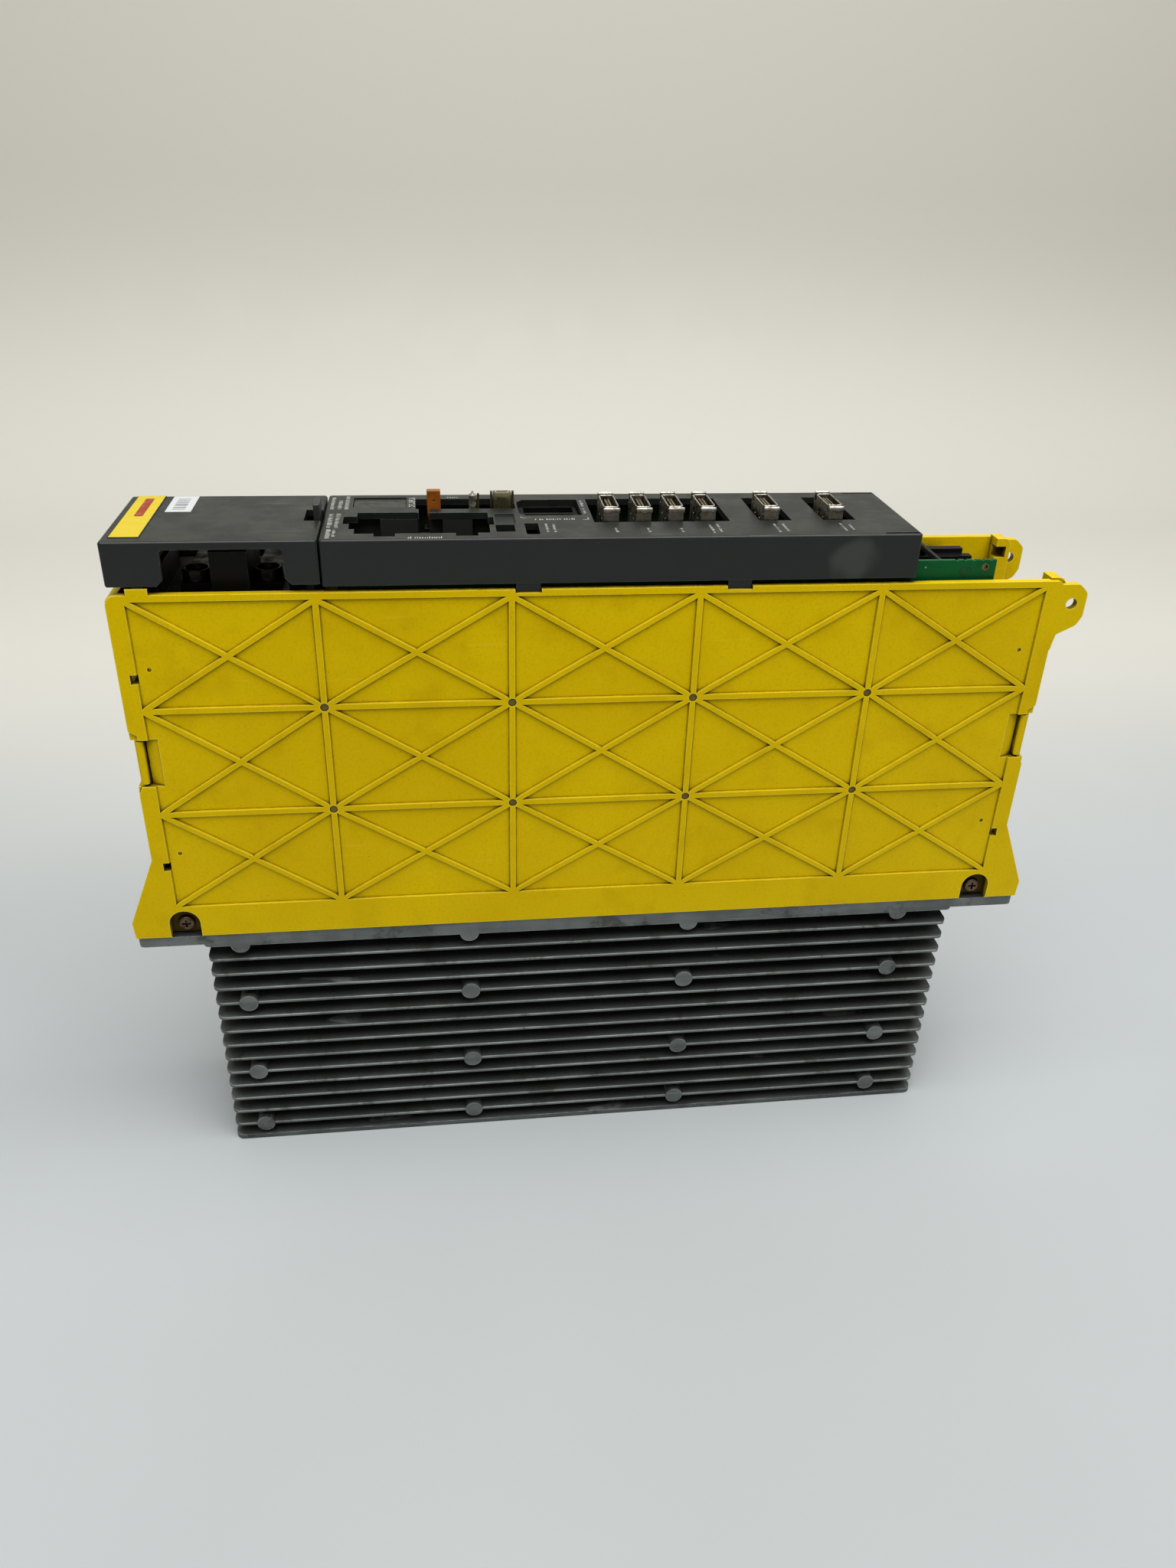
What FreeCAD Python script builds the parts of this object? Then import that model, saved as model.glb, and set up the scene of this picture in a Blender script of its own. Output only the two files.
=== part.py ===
import FreeCAD, Part
import math
import os

# Narrow servo drive module, millimetres, standing on its heat-sink fins with the
# connector face up.
# X runs along the 380 mm length: the terminal-cover end is -X, the lug end is +X.
# Y runs across the 60 mm width, -Y is the side the control board sits against.
# Z runs up from the tips of the cooling fins to the connector face.
# Every node is written as one STEP file in parts/.

V = FreeCAD.Vector
os.makedirs("parts", exist_ok=True)

# ---------------------------------------------------------------- driving dimensions
FLANGE_HALF = 190.0        # half length of the mounting flange
WIDTH_HALF = 30.0          # half width over the two side shells
SHELL_WALL = 3.0
END_WALL = 2.6
SHELL_HALF = 178.5         # half length over the shell ends
FLANGE_BOTTOM = 112.0
FLANGE_TOP = 116.5
SHELL_BOTTOM = 117.3
SHELL_TOP = 265.0
COVER_BOTTOM = 267.0
COVER_TOP = 284.0
COVER_HALF_WIDTH = 29.0
COVER_WALL = 2.0
COVER_ROOF = 2.5
SEAM = 0.2                 # visible gap between the two shell halves

SINK_X = (-163.6, 161.2)   # ends of the fin block
SINK_HALF_WIDTH = 29.0
FIN_COUNT = 14
FIN_PITCH = 7.85
PAD_BOTTOM = 110.5
WEB_HALF = 4.0
PIN_COLUMNS = [-149.4, -54.0, 41.4, 136.8]
PIN_ROWS = [0, 4, 9, 13]
PIN_RADIUS = 4.0
PANEL_HOLE_X = 184.25      # flange mounting holes, 368.5 mm apart
PANEL_HOLE_R = 2.9

RIB_X = [-172.0, -106.0, -35.3, 35.3, 106.0, 172.0]
RIB_Z = [132.0, 175.3, 219.7, 262.5]
RIB_HALF = 1.1             # half width of the straight ribs
BRACE_HALF = 0.95          # half width of the diagonal ribs
POCKET_DEPTH = 0.9
POCKET_DRAFT = 0.3
DIMPLE_R = 1.65            # ejector dimples where the ribs cross
DIMPLE_DEPTH = 0.8

CASE_SCREW_X = 169.8
CASE_SCREW_Z = 122.1
RECESS_Z = 123.7
RECESS_R = 6.15            # U-shaped recess round a case screw
RECESS_DEPTH = 4.0
RECESS_FLOOR = 1.2
UPRIGHT_FACE = 24.6        # outer face of the uprights the case screws bite into
SNAP_NOTCHES = [(-34.0, -24.3), (45.3, 55.0)]
POST_X = (174.0, 180.2)    # corner post behind each lug
POST_TOP = 265.8
POST_SLOT_Z = (257.7, 262.4)
LUG_X = 183.5
LUG_Z = 255.6
LUG_HOLE_R = 2.3

HINGE_X = -172.5           # terminal cover hinge line
HINGE_Z = 272.5
HINGE_PIN_R = 1.2
HINGE_BOSS_R = 2.9

TERMINAL_COVER_X = (-177.8, -103.8)
FRONT_COVER_X = (-103.2, 118.7)
LATCH_X = (-106.5, -104.2)
LATCH_Y = (-4.5, 5.5)
LATCH_TOP = 290.0
LATCH_PIVOT = (-107.4, 271.0)
LATCH_NOSE = 0.45          # how far the nose stands out towards the front cover

BOARD_Z = (268.0, 269.6)   # connector board behind the front cover
CONTROL_Y = (-24.8, -23.2)
CONNECTOR_X = [3.6, 15.9, 28.2, 40.6, 65.2, 90.6]
CONNECTOR_Y = (-9.5, 10.3)
HOOK_GAP = 1.9             # from a latch hook's outer face to the connector's rim
CONNECTOR_WIDTH = 5.8
CONNECTOR_TOP = 289.0
COVER_POSTS = [(-97.4, 20.0), (-97.2, -20.6), (8.0, 23.4), (8.0, -19.0), (112.0, 22.6),
               (112.0, -19.0)]
FUSE_X = (-39.8, -32.7)
BLADE_THICKNESS = 0.8
CONTROL_HOLES = [(-90.0, 160.0), (20.0, 160.0), (140.0, 160.0)]
MODULE_X = [(-62.0, 28.0), (40.0, 104.0)]
MODULE_SCREWS = [(-56.0, 0.0), (22.0, 0.0), (46.0, 0.0), (98.0, 0.0)]
STANDOFF_PLACES = [(-147.0, -18.0), (-147.0, 18.0), (122.0, -18.0), (122.0, 18.0)]
DC_TERMINAL_X = [-149.6, -124.0]
DC_TERMINAL_Y = -9.7
DC_BAR_HALF = 5.2
DC_BARRIERS = [(-161.5, -159.5, 273.0), (-142.6, -129.4, 278.0), (-115.5, -113.5, 273.0)]
MOTOR_TERMINAL_Y = [-12.0, -2.0, 8.0, 18.0]
STRAP_Z = (269.4, 271.2)   # strap from the control board to the motor terminal block
POWER_BOARD_Z = (142.0, 144.0)
FAN_X = (-174.2, -159.2)
FAN_Z = 158.0
FAN_SIDE = 50.0
CAPACITOR_X = [-126.0, -88.5]


# ---------------------------------------------------------------- small helpers
def block(x, y, z):
    """Box from three (low, high) pairs."""
    return Part.makeBox(x[1] - x[0], y[1] - y[0], z[1] - z[0], V(x[0], y[0], z[0]))


def rod(axis, centre, radius, span):
    """Cylinder along 'x', 'y' or 'z'; centre holds the other two coordinates."""
    low, high = span
    if axis == "x":
        return Part.makeCylinder(radius, high - low, V(low, centre[0], centre[1]), V(1, 0, 0))
    if axis == "y":
        return Part.makeCylinder(radius, high - low, V(centre[0], low, centre[1]), V(0, 1, 0))
    return Part.makeCylinder(radius, high - low, V(centre[0], centre[1], low), V(0, 0, 1))


def join(*shapes):
    result = shapes[0]
    if len(shapes) > 1:
        result = shapes[0].fuse(list(shapes[1:]))
    return result.removeSplitter()


def cut(base, *tools):
    return base.cut(list(tools)).removeSplitter()


def xz_prism(points, y):
    """Polygon in the XZ plane, thickened from y[0] to y[1]."""
    wire = Part.makePolygon([V(px, y[0], pz) for px, pz in points + points[:1]])
    return Part.Face(wire).extrude(V(0, y[1] - y[0], 0))


def soften(shape, radius, axis=None, where=None):
    """Fillet the straight edges along one axis (or all) whose middle passes a test."""
    chosen = []
    for edge in shape.Edges:
        if not isinstance(edge.Curve, Part.Line):
            continue
        direction = edge.tangentAt(edge.FirstParameter)
        if axis and abs(getattr(direction, axis)) < 0.999:
            continue
        middle = edge.CenterOfMass
        if where and not where(middle):
            continue
        chosen.append(edge)
    return shape.makeFillet(radius, chosen) if chosen else shape


def rounded_block(x, y, z, radius, axis="z"):
    return soften(block(x, y, z), radius, axis)


def mirror_y(shape):
    return shape.mirror(V(0, 0, 0), V(0, 1, 0))


def save(name, *solids):
    """Write one node; every entry stays a separate solid."""
    pieces = []
    for shape in solids:
        pieces.extend(shape.Solids)
    for piece in pieces:
        if not piece.isValid():
            raise SystemExit("invalid solid in " + name)
    shape = pieces[0] if len(pieces) == 1 else Part.makeCompound(pieces)
    shape.exportStep("parts/" + name + ".step")
    box = shape.BoundBox
    print("%-26s %2d  x %7.1f %7.1f  y %6.1f %6.1f  z %6.1f %6.1f" % (
        name, len(pieces), box.XMin, box.XMax, box.YMin, box.YMax, box.ZMin, box.ZMax))


def pan_head_screw(axis, centre, head_from, head_to, shank_to, head_r, shank_r):
    """Cross-recess pan head screw; head_from is the outer face of the head."""
    low, high = sorted((head_from, head_to))
    head = rod(axis, centre, head_r, (low, high))
    outer = [e for e in head.Edges if isinstance(e.Curve, Part.Circle)]
    place = {"x": 0, "y": 1, "z": 2}[axis]
    outer = [e for e in outer if abs(e.CenterOfMass[place] - head_from) < 0.01]
    head = head.makeFillet((high - low) * 0.45, outer)
    shank = rod(axis, centre, shank_r, tuple(sorted((head_to, shank_to))))
    depth = (high - low) * 0.6
    inner = head_from + (depth if head_to > head_from else -depth)
    span = tuple(sorted((head_from, inner)))
    arm = head_r * 0.55
    slot = head_r * 0.13
    if axis == "y":
        x, z = centre
        cross = [block((x - arm, x + arm), span, (z - slot, z + slot)),
                 block((x - slot, x + slot), span, (z - arm, z + arm))]
    elif axis == "z":
        x, y = centre
        cross = [block((x - arm, x + arm), (y - slot, y + slot), span),
                 block((x - slot, x + slot), (y - arm, y + arm), span)]
    else:
        y, z = centre
        cross = [block(span, (y - arm, y + arm), (z - slot, z + slot)),
                 block(span, (y - slot, y + slot), (z - arm, z + arm))]
    return head.fuse(shank).cut(cross)


# ---------------------------------------------------------------- heat sink
def fin_section():
    """Cross-section of web and fins in the YZ plane, as one closed face."""
    half_tip = 0.75
    half_root = 1.35
    tip = SINK_HALF_WIDTH
    edges = []

    def line(a, b):
        edges.append(Part.LineSegment(V(0, *a), V(0, *b)).toShape())

    def fin_centres():
        return [PAD_BOTTOM + 0.35 - FIN_PITCH * k for k in range(1, FIN_COUNT)]

    def side(sign):
        """Points and arcs from the pad down one side to the last fin."""
        here = (sign * WEB_HALF, PAD_BOTTOM)
        for z in fin_centres():
            top_root = (sign * WEB_HALF, z + half_root)
            top_tip = (sign * (tip - half_tip), z + half_tip)
            end = (sign * tip, z)
            low_tip = (sign * (tip - half_tip), z - half_tip)
            low_root = (sign * WEB_HALF, z - half_root)
            line(here, top_root)
            line(top_root, top_tip)
            edges.append(Part.Arc(V(0, *top_tip), V(0, *end), V(0, *low_tip)).toShape())
            line(low_tip, low_root)
            here = low_root
        return here

    left = side(-1)
    right = side(1)
    last_top = 3.0
    line(left, (-WEB_HALF, last_top))
    line((-WEB_HALF, last_top), (-tip, last_top - 0.4))
    line((-tip, last_top - 0.4), (-tip, 0.5))
    line((-tip, 0.5), (-tip + 0.5, 0.0))
    line((-tip + 0.5, 0.0), (tip - 0.5, 0.0))
    line((tip - 0.5, 0.0), (tip, 0.5))
    line((tip, 0.5), (tip, last_top - 0.4))
    line((tip, last_top - 0.4), (WEB_HALF, last_top))
    line((WEB_HALF, last_top), right)
    line((WEB_HALF, PAD_BOTTOM), (-WEB_HALF, PAD_BOTTOM))
    wire = Part.Wire(Part.__sortEdges__(edges))
    return Part.Face(wire)


def heat_sink():
    fins = fin_section()
    fins.translate(V(SINK_X[0], 0, 0))
    fins = fins.extrude(V(SINK_X[1] - SINK_X[0], 0, 0))
    plan = rounded_block(SINK_X, (-SINK_HALF_WIDTH, SINK_HALF_WIDTH), (-1, PAD_BOTTOM + 1),
                         4.0)
    fins = fins.common(plan)
    pad = rounded_block((SINK_X[0] - 1, SINK_X[1] + 1), (-SINK_HALF_WIDTH, SINK_HALF_WIDTH),
                        (PAD_BOTTOM, FLANGE_BOTTOM), 3.0)
    flange = rounded_block((-FLANGE_HALF, FLANGE_HALF), (-SINK_HALF_WIDTH, SINK_HALF_WIDTH),
                           (FLANGE_BOTTOM, FLANGE_TOP), 2.5)
    pins = []
    for x in PIN_COLUMNS:
        for row in PIN_ROWS:
            z = PAD_BOTTOM + 0.35 - FIN_PITCH * row
            pins.append(rod("y", (x, z), PIN_RADIUS, (-SINK_HALF_WIDTH, SINK_HALF_WIDTH)))
    uprights = []
    for sx in (-1, 1):
        for sy in (-1, 1):
            x = tuple(sorted((sx * 164.5, sx * 175.3)))
            y = tuple(sorted((sy * 19.0, sy * UPRIGHT_FACE)))
            uprights.append(block(x, y, (FLANGE_TOP - 1, 130.0)))
    body = join(flange, pad, fins, *(pins + uprights))
    holes = []
    for sx in (-1, 1):
        holes.append(rod("z", (sx * PANEL_HOLE_X, 0), PANEL_HOLE_R,
                         (FLANGE_BOTTOM - 1, FLANGE_TOP + 1)))
        for sy in (-1, 1):
            span = tuple(sorted((sy * 18.0, sy * 27.0)))
            holes.append(rod("y", (sx * CASE_SCREW_X, CASE_SCREW_Z), 2.02, span))
    for x, y in MODULE_SCREWS:
        holes.append(rod("z", (x, y), 2.02, (FLANGE_TOP - 6.0, FLANGE_TOP + 1)))
    for x, y in STANDOFF_PLACES:
        holes.append(rod("z", (x, y), 1.52, (FLANGE_TOP - 4.0, FLANGE_TOP + 1)))
    return cut(body, *holes)


# ---------------------------------------------------------------- side shells
def shell_outline():
    """Outline of one side plate for x >= 0, from the bottom up."""
    return [(190.0, SHELL_BOTTOM), (190.5, 125.0), (178.4, 155.0), (178.4, 185.0),
            (177.0, 188.0), (168.6, 188.0), (168.6, 208.0), (175.6, 208.0),
            (175.6, 210.0), (178.5, 212.0), (178.5, SHELL_TOP)]


def inset_triangle(corners, gaps):
    """Triangle inside corners; gaps[i] is the inset from the edge i -> i + 1."""
    middle = [sum(c[k] for c in corners) / 3.0 for k in (0, 1)]
    lines = []
    for i in range(3):
        ax, az = corners[i]
        bx, bz = corners[(i + 1) % 3]
        length = math.hypot(bx - ax, bz - az)
        nx, nz = -(bz - az) / length, (bx - ax) / length
        if nx * (middle[0] - ax) + nz * (middle[1] - az) < 0:
            nx, nz = -nx, -nz
        lines.append((nx, nz, nx * ax + nz * az + gaps[i]))
    inner = []
    for i in range(3):
        n1, n2 = lines[i - 1], lines[i]
        det = n1[0] * n2[1] - n1[1] * n2[0]
        inner.append(((n1[2] * n2[1] - n2[2] * n1[1]) / det,
                      (n1[0] * n2[2] - n2[0] * n1[2]) / det))
    return inner


def pocket(corners, gaps):
    """Tapered triangular recess in the outer face of the near plate."""
    outer = inset_triangle(corners, gaps)
    inner = inset_triangle(corners, [gap + POCKET_DRAFT for gap in gaps])
    wires = []
    for points, y in ((outer, -WIDTH_HALF), (inner, -WIDTH_HALF + POCKET_DEPTH)):
        wires.append(Part.makePolygon([V(px, y, pz) for px, pz in points + points[:1]]))
    return Part.makeLoft(wires, True, True)


def rib_pockets():
    """Four pockets in each cell of the rib grid."""
    tools = []
    for i in range(len(RIB_X) - 1):
        for k in range(len(RIB_Z) - 1):
            x0, x1 = RIB_X[i], RIB_X[i + 1]
            z0, z1 = RIB_Z[k], RIB_Z[k + 1]
            centre = ((x0 + x1) / 2, (z0 + z1) / 2)
            ring = [(x0, z0), (x1, z0), (x1, z1), (x0, z1)]
            for n in range(4):
                a, b = ring[n], ring[(n + 1) % 4]
                on_frame = (a[0] == b[0] and a[0] in (RIB_X[0], RIB_X[-1])) or \
                           (a[1] == b[1] and a[1] in (RIB_Z[0], RIB_Z[-1]))
                edge_gap = 0.0 if on_frame else RIB_HALF
                tools.append(pocket([a, b, centre], [edge_gap, BRACE_HALF, BRACE_HALF]))
    return tools


def case_screw_boss(x):
    """Thickening behind the plate that carries the floor of one screw recess."""
    radius = RECESS_R + RECESS_FLOOR
    y = (-WIDTH_HALF + SHELL_WALL - 1, -WIDTH_HALF + RECESS_DEPTH + RECESS_FLOOR)
    foot = block((x - radius, x + radius), y, (SHELL_BOTTOM, RECESS_Z))
    drum = rod("y", (x, RECESS_Z), radius, y)
    above = block((x - radius, x + radius), y, (SHELL_BOTTOM, RECESS_Z + radius))
    return [foot, drum.common(above)]


def case_screw_recess(x):
    """U-shaped recess open at the bottom, around one case screw."""
    y = (-WIDTH_HALF - 1, -WIDTH_HALF + RECESS_DEPTH)
    drum = rod("y", (x, RECESS_Z), RECESS_R, y)
    mouth = block((x - RECESS_R, x + RECESS_R), y, (SHELL_BOTTOM - 1, RECESS_Z))
    hole = rod("y", (x, CASE_SCREW_Z), 2.3, (-WIDTH_HALF - 1, -WIDTH_HALF + RECESS_DEPTH + 2))
    return [drum, mouth, hole]


def corner_scoop(sign):
    """Sunken, sloping floor beside the tongue in one corner notch of the plate."""
    plan = [(168.0, -29.0), (173.4, -27.0), (173.4, -25.0), (168.0, -25.0)]
    wire = Part.makePolygon([V(sign * px, py, 187.5) for px, py in plan + plan[:1]])
    return Part.Face(wire).extrude(V(0, 0, 21.0))


def side_shell():
    """The near half of the case: a ribbed side plate with its end walls."""
    right = shell_outline()
    left = [(-px, pz) for px, pz in reversed(right)]
    plate_y = (-WIDTH_HALF, -WIDTH_HALF + SHELL_WALL)
    plate = xz_prism(left + right, plate_y)
    plate = soften(plate, 3.8, "y", lambda m: m.x < -178 and m.z > 264)
    plate = soften(plate, 2.2, "y", lambda m: m.x > 178 and m.z > 264)
    lug = [(172.0, 236.0), (178.6, 236.0), (180.0, 242.9), (187.4, 246.7), (189.3, 250.4),
           (189.3, 260.0), (185.6, 263.6), (172.0, 263.6)]
    lug = xz_prism(lug, plate_y)
    lug = soften(lug, 3.0, "y", lambda m: m.x > 185)
    tab = block((-171.0, -163.4), (-WIDTH_HALF, -WIDTH_HALF + 0.7), (SHELL_TOP - 1, 267.3))
    inner = (-WIDTH_HALF + 1, -SEAM / 2)
    ends = []
    for sign in (-1, 1):
        top = 263.0 if sign < 0 else 232.0
        x = tuple(sorted((sign * (SHELL_HALF - END_WALL), sign * SHELL_HALF)))
        wall = block(x, inner, (FLANGE_TOP, top))
        gap = tuple(sorted((sign * 177.1, sign * 180.0)))
        wall = wall.cut(block(gap, (-WIDTH_HALF, -20.0), (188.0, 208.0)))
        x = tuple(sorted((sign * 174.0, sign * 177.1)))
        tongue = block(x, (-WIDTH_HALF + 0.6, -12.0), (189.0, 207.2))
        tongue = soften(tongue, 1.3, "z", lambda m: m.y < -29)
        ends.extend([wall, tongue, corner_scoop(sign)])
    post = block(POST_X, (-WIDTH_HALF + 2, -21.0), (236.0, POST_TOP))
    post = soften(post, 3.0, "y", lambda m: m.x > POST_X[1] - 1 and m.z > POST_TOP - 1)
    bosses = case_screw_boss(-CASE_SCREW_X) + case_screw_boss(CASE_SCREW_X)
    body = join(plate, lug, tab, post, *(ends + bosses))
    tools = rib_pockets()
    for x in (-CASE_SCREW_X, CASE_SCREW_X):
        tools.extend(case_screw_recess(x))
    for x in (RIB_X[1], RIB_X[2], RIB_X[3], RIB_X[4]):
        for z in (RIB_Z[1], RIB_Z[2]):
            tools.append(rod("y", (x, z), DIMPLE_R, (-31, -WIDTH_HALF + DIMPLE_DEPTH)))
    for x, z in ((-172.9, 232.8), (-172.9, 151.5), (172.9, 151.5)):
        tools.append(block((x - 1.45, x + 1.45), (-31, -26), (z - 1.85, z + 1.85)))
    for x in (-167.3, 166.5):
        for z in (236.3, 157.2):
            tools.append(rod("y", (x, z), 0.8, (-31, -WIDTH_HALF + POCKET_DEPTH + 0.5)))
    for low, high in SNAP_NOTCHES:
        tools.append(block((low, high), (-31, -26), (SHELL_TOP - 1.3, SHELL_TOP + 1)))
    tools.append(rod("y", (LUG_X, LUG_Z), LUG_HOLE_R, (-31, -26)))
    tools.append(block((POST_X[0] - 1, POST_X[1] - 1.8), (-25.5, -19.0), POST_SLOT_Z))
    tools.extend(vent_slots())
    return cut(body, *tools)


def vent_slots():
    """Rows of air slots through both end walls, in front of the fan and by the boards."""
    tools = []
    for sign in (-1, 1):
        x = tuple(sorted((sign * 174.9, sign * 179.5)))
        rows = [128.5 + 6.6 * k for k in range(9)]
        rows += [216.0 + 6.6 * k for k in range(6 if sign < 0 else 2)]
        for z in rows:
            slot = block(x, (-23.0, -3.0), (z - 1.7, z + 1.7))
            tools.append(soften(slot, 1.6, "x"))
    return tools


# ---------------------------------------------------------------- covers
def terminal_cover():
    x0, x1 = TERMINAL_COVER_X
    low = COVER_BOTTOM + 0.8
    half = COVER_HALF_WIDTH
    outer = rounded_block((x0, x1), (-half, half), (low, COVER_TOP), 1.2)
    outer = soften(outer, 0.9, "x", lambda m: m.z > COVER_TOP - 0.01)
    hollow = block((x0 + COVER_WALL, x1 + 1), (-half + COVER_WALL, half - COVER_WALL),
                   (low - 1, COVER_TOP - COVER_ROOF))
    shell = outer.cut(hollow)
    corner = xz_prism([(x0 - 1, low + 1.6), (x0 - 1, low - 1), (x0 + 1.8, low - 1)],
                      (-half - 1, half + 1))
    windows = []
    for sign in (-1, 1):
        y = tuple(sorted((sign * (half + 1), sign * (half - COVER_WALL - 0.5))))
        win = block((-157.8, -115.8), y, (low - 1, 281.0))
        win = soften(win, 1.6, "y", lambda m: m.z > 280)
        windows.append(win)
        for edge, way in ((-157.8, -1), (-115.8, 1)):
            flare = [(edge + way * -1, low - 0.1), (edge + way * 2.4, low - 0.1),
                     (edge, low + 2.4), (edge + way * -1, low + 2.4)]
            windows.append(xz_prism(flare, y))
    notch = block((-110.2, x1 + 1), (LATCH_Y[0] - 0.9, 8.9), (low, COVER_TOP + 1))
    bosses = []
    for sign in (-1, 1):
        y = tuple(sorted((sign * 24.9, sign * (half - COVER_WALL + 0.5))))
        bosses.append(rod("y", (HINGE_X, HINGE_Z), HINGE_BOSS_R, y))
        bosses.append(block((HINGE_X - HINGE_BOSS_R, HINGE_X + HINGE_BOSS_R), y,
                            (HINGE_Z, COVER_TOP - 1)))
    bore = rod("y", (HINGE_X, HINGE_Z), HINGE_PIN_R + 0.06, (-27.4, 27.4))
    arm = block((-112.0, -110.2), (LATCH_Y[0], LATCH_Y[1]), (269.6, COVER_TOP - 1))
    end_wall = block((x1 - 1.6, x1), (-half + 0.5, half - 0.5), (low, COVER_TOP - 1))
    stiffener = [block((x0 + 1, -110.5), (y, y + 1.4), (COVER_TOP - 5.0, COVER_TOP - 1))
                 for y in (-15.0, 14.0)]
    body = join(shell, arm, end_wall, *(bosses + stiffener))
    return cut(body, corner, notch, bore, *windows)


def latch_lever():
    """Release tab of the terminal cover: a tall finger on a moulded spring root."""
    px, pz = LATCH_PIVOT
    finger = block(LATCH_X, LATCH_Y, (pz - 1.2, LATCH_TOP))
    finger = soften(finger, 0.9, "x", lambda m: m.z > LATCH_TOP - 0.1)
    finger = soften(finger, 0.5, "y", lambda m: m.z > LATCH_TOP - 0.1)
    root = rod("y", (px, pz), 1.4, LATCH_Y)
    web = block((px, LATCH_X[1]), LATCH_Y, (pz - 1.2, pz + 1.0))
    tip = LATCH_X[1] + LATCH_NOSE
    nose = xz_prism([(LATCH_X[1] - 0.5, 275.0), (tip, 277.4), (tip, 278.4),
                     (LATCH_X[1] - 0.5, 279.6)], (-3.0, 4.0))
    return join(finger, root, web, nose)


def front_cover_windows():
    """Cutters for every opening in the roof of the front cover, (x, y) in plan."""
    z = (COVER_TOP - 8.0, COVER_TOP + 1)

    def window(x, y, radius=0.6):
        return rounded_block(x, y, z, radius)

    tools = [window((-93.3, -73.0), (11.6, 25.0)),
             window((-69.5, -31.4), (8.5, 22.5)),
             window((-68.3, -64.4), (3.0, 10.0), 0.3),
             window((-29.4, -24.4), (-24.4, -10.8)),
             window((60.5, 73.2), (-10.2, 21.2)),
             window((85.5, 98.5), (-10.2, 21.6)),
             window((-3.0, 49.0), (-10.5, 21.2)),
             window((-40.2, -33.2), (-21.0, -12.2), 0.3),
             window((-84.2, -76.6), (-25.4, -21.0), 0.3),
             window((-54.9, -46.9), (-25.4, -21.0), 0.3)]
    bay = [(-91.3, -22.0), (-42.4, -22.0), (-42.4, -12.2), (-40.5, -12.2), (-40.5, -2.4),
           (-42.4, -2.4), (-42.4, 3.6), (-68.6, 3.6), (-68.6, 4.4), (-91.0, 4.4),
           (-91.0, -0.5), (-95.9, -0.5), (-95.9, -9.8), (-93.5, -9.8), (-93.5, -16.3),
           (-91.3, -16.3)]
    wire = Part.makePolygon([V(px, py, z[0]) for px, py in bay + bay[:1]])
    tools.append(Part.Face(wire).extrude(V(0, 0, z[1] - z[0])))
    supply = [(-30.5, 2.0), (-28.0, -1.0), (-6.5, -1.0), (-6.5, 20.5), (-28.0, 20.5),
              (-30.5, 17.0)]
    wire = Part.makePolygon([V(px, py, z[0]) for px, py in supply + supply[:1]])
    tools.append(Part.Face(wire).extrude(V(0, 0, z[1] - z[0])))
    return tools


def front_cover():
    x0, x1 = FRONT_COVER_X
    half = COVER_HALF_WIDTH
    outer = rounded_block((x0, x1), (-half, half), (COVER_BOTTOM, COVER_TOP), 1.2)
    outer = soften(outer, 0.9, "x", lambda m: m.z > COVER_TOP - 0.01)
    hollow = block((x0 + COVER_WALL, x1 - COVER_WALL),
                   (-half + COVER_WALL, half - COVER_WALL),
                   (COVER_BOTTOM - 1, COVER_TOP - COVER_ROOF))
    shell = outer.cut(hollow)
    feet = []
    for low, high in SNAP_NOTCHES:
        for sign in (-1, 1):
            y = tuple(sorted((sign * (half - 0.3), sign * (half - COVER_WALL))))
            feet.append(block((low + 0.4, high - 0.4), y, (SHELL_TOP - 1.3, COVER_BOTTOM + 1)))
            y = tuple(sorted((sign * (half - COVER_WALL), sign * (half - COVER_WALL - 1.5))))
            feet.append(block((low + 0.4, high - 0.4), y, (256.0, COVER_BOTTOM + 6)))
    posts = [rod("z", place, 2.0, (BOARD_Z[1], COVER_TOP - 1)) for place in COVER_POSTS]
    pilots = [rod("z", place, 1.02, (BOARD_Z[1] - 1, BOARD_Z[1] + 7)) for place in COVER_POSTS]
    grooves = []
    for sign in (-1, 1):
        y = tuple(sorted((sign * (half - 0.9), sign * (half - 2.6))))
        groove = block((104.5, x1 - 0.8), y, (COVER_TOP - 1.5, COVER_TOP + 1))
        grooves.append(soften(groove, 0.4, "z"))
    pad = block((-39.8, -32.6), (-11.6, 1.5), (COVER_TOP - 0.8, COVER_TOP + 1))
    board_slot = block((x1 - COVER_WALL - 0.5, x1 + 1), (CONTROL_Y[0] - 0.6, CONTROL_Y[1] + 0.6),
                       (COVER_BOTTOM - 1, 273.0))
    body = join(shell, *(feet + posts))
    return cut(body, pad, board_slot, *(front_cover_windows() + grooves + pilots))


def battery_bay():
    """Open tray under the battery opening, with its two guide blocks."""
    z_top = COVER_TOP - COVER_ROOF - 0.1
    floor_z = BOARD_Z[1] + 0.1
    sill_z = 273.1
    wall = 1.2
    x = (-98.0, -33.2)
    inner_x = (x[0] + wall, x[1] - wall)
    tray = block(x, (-22.3, 8.3), (floor_z, z_top))
    sill = block(x, (-26.8, -22.0), (sill_z, z_top))
    well = block(inner_x, (-21.3, 7.3), (floor_z + wall, z_top + 1))
    sill_well = block(inner_x, (-25.8, -21.0), (sill_z + wall, z_top + 1))
    plug_gap = block((-68.3, -64.4), (7.0, 9.0), (275.0, z_top + 1))
    corner = rod("z", COVER_POSTS[1], 2.4, (floor_z - 1, z_top + 1))
    guides = [block((-82.9, -68.8), (4.4, 8.0), (floor_z + 1, z_top)),
              block((-59.4, -48.1), (3.7, 8.0), (floor_z + 1, z_top))]
    hollow = cut(join(tray, sill), well, sill_well, plug_gap)
    return cut(join(hollow, *guides), corner)


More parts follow.
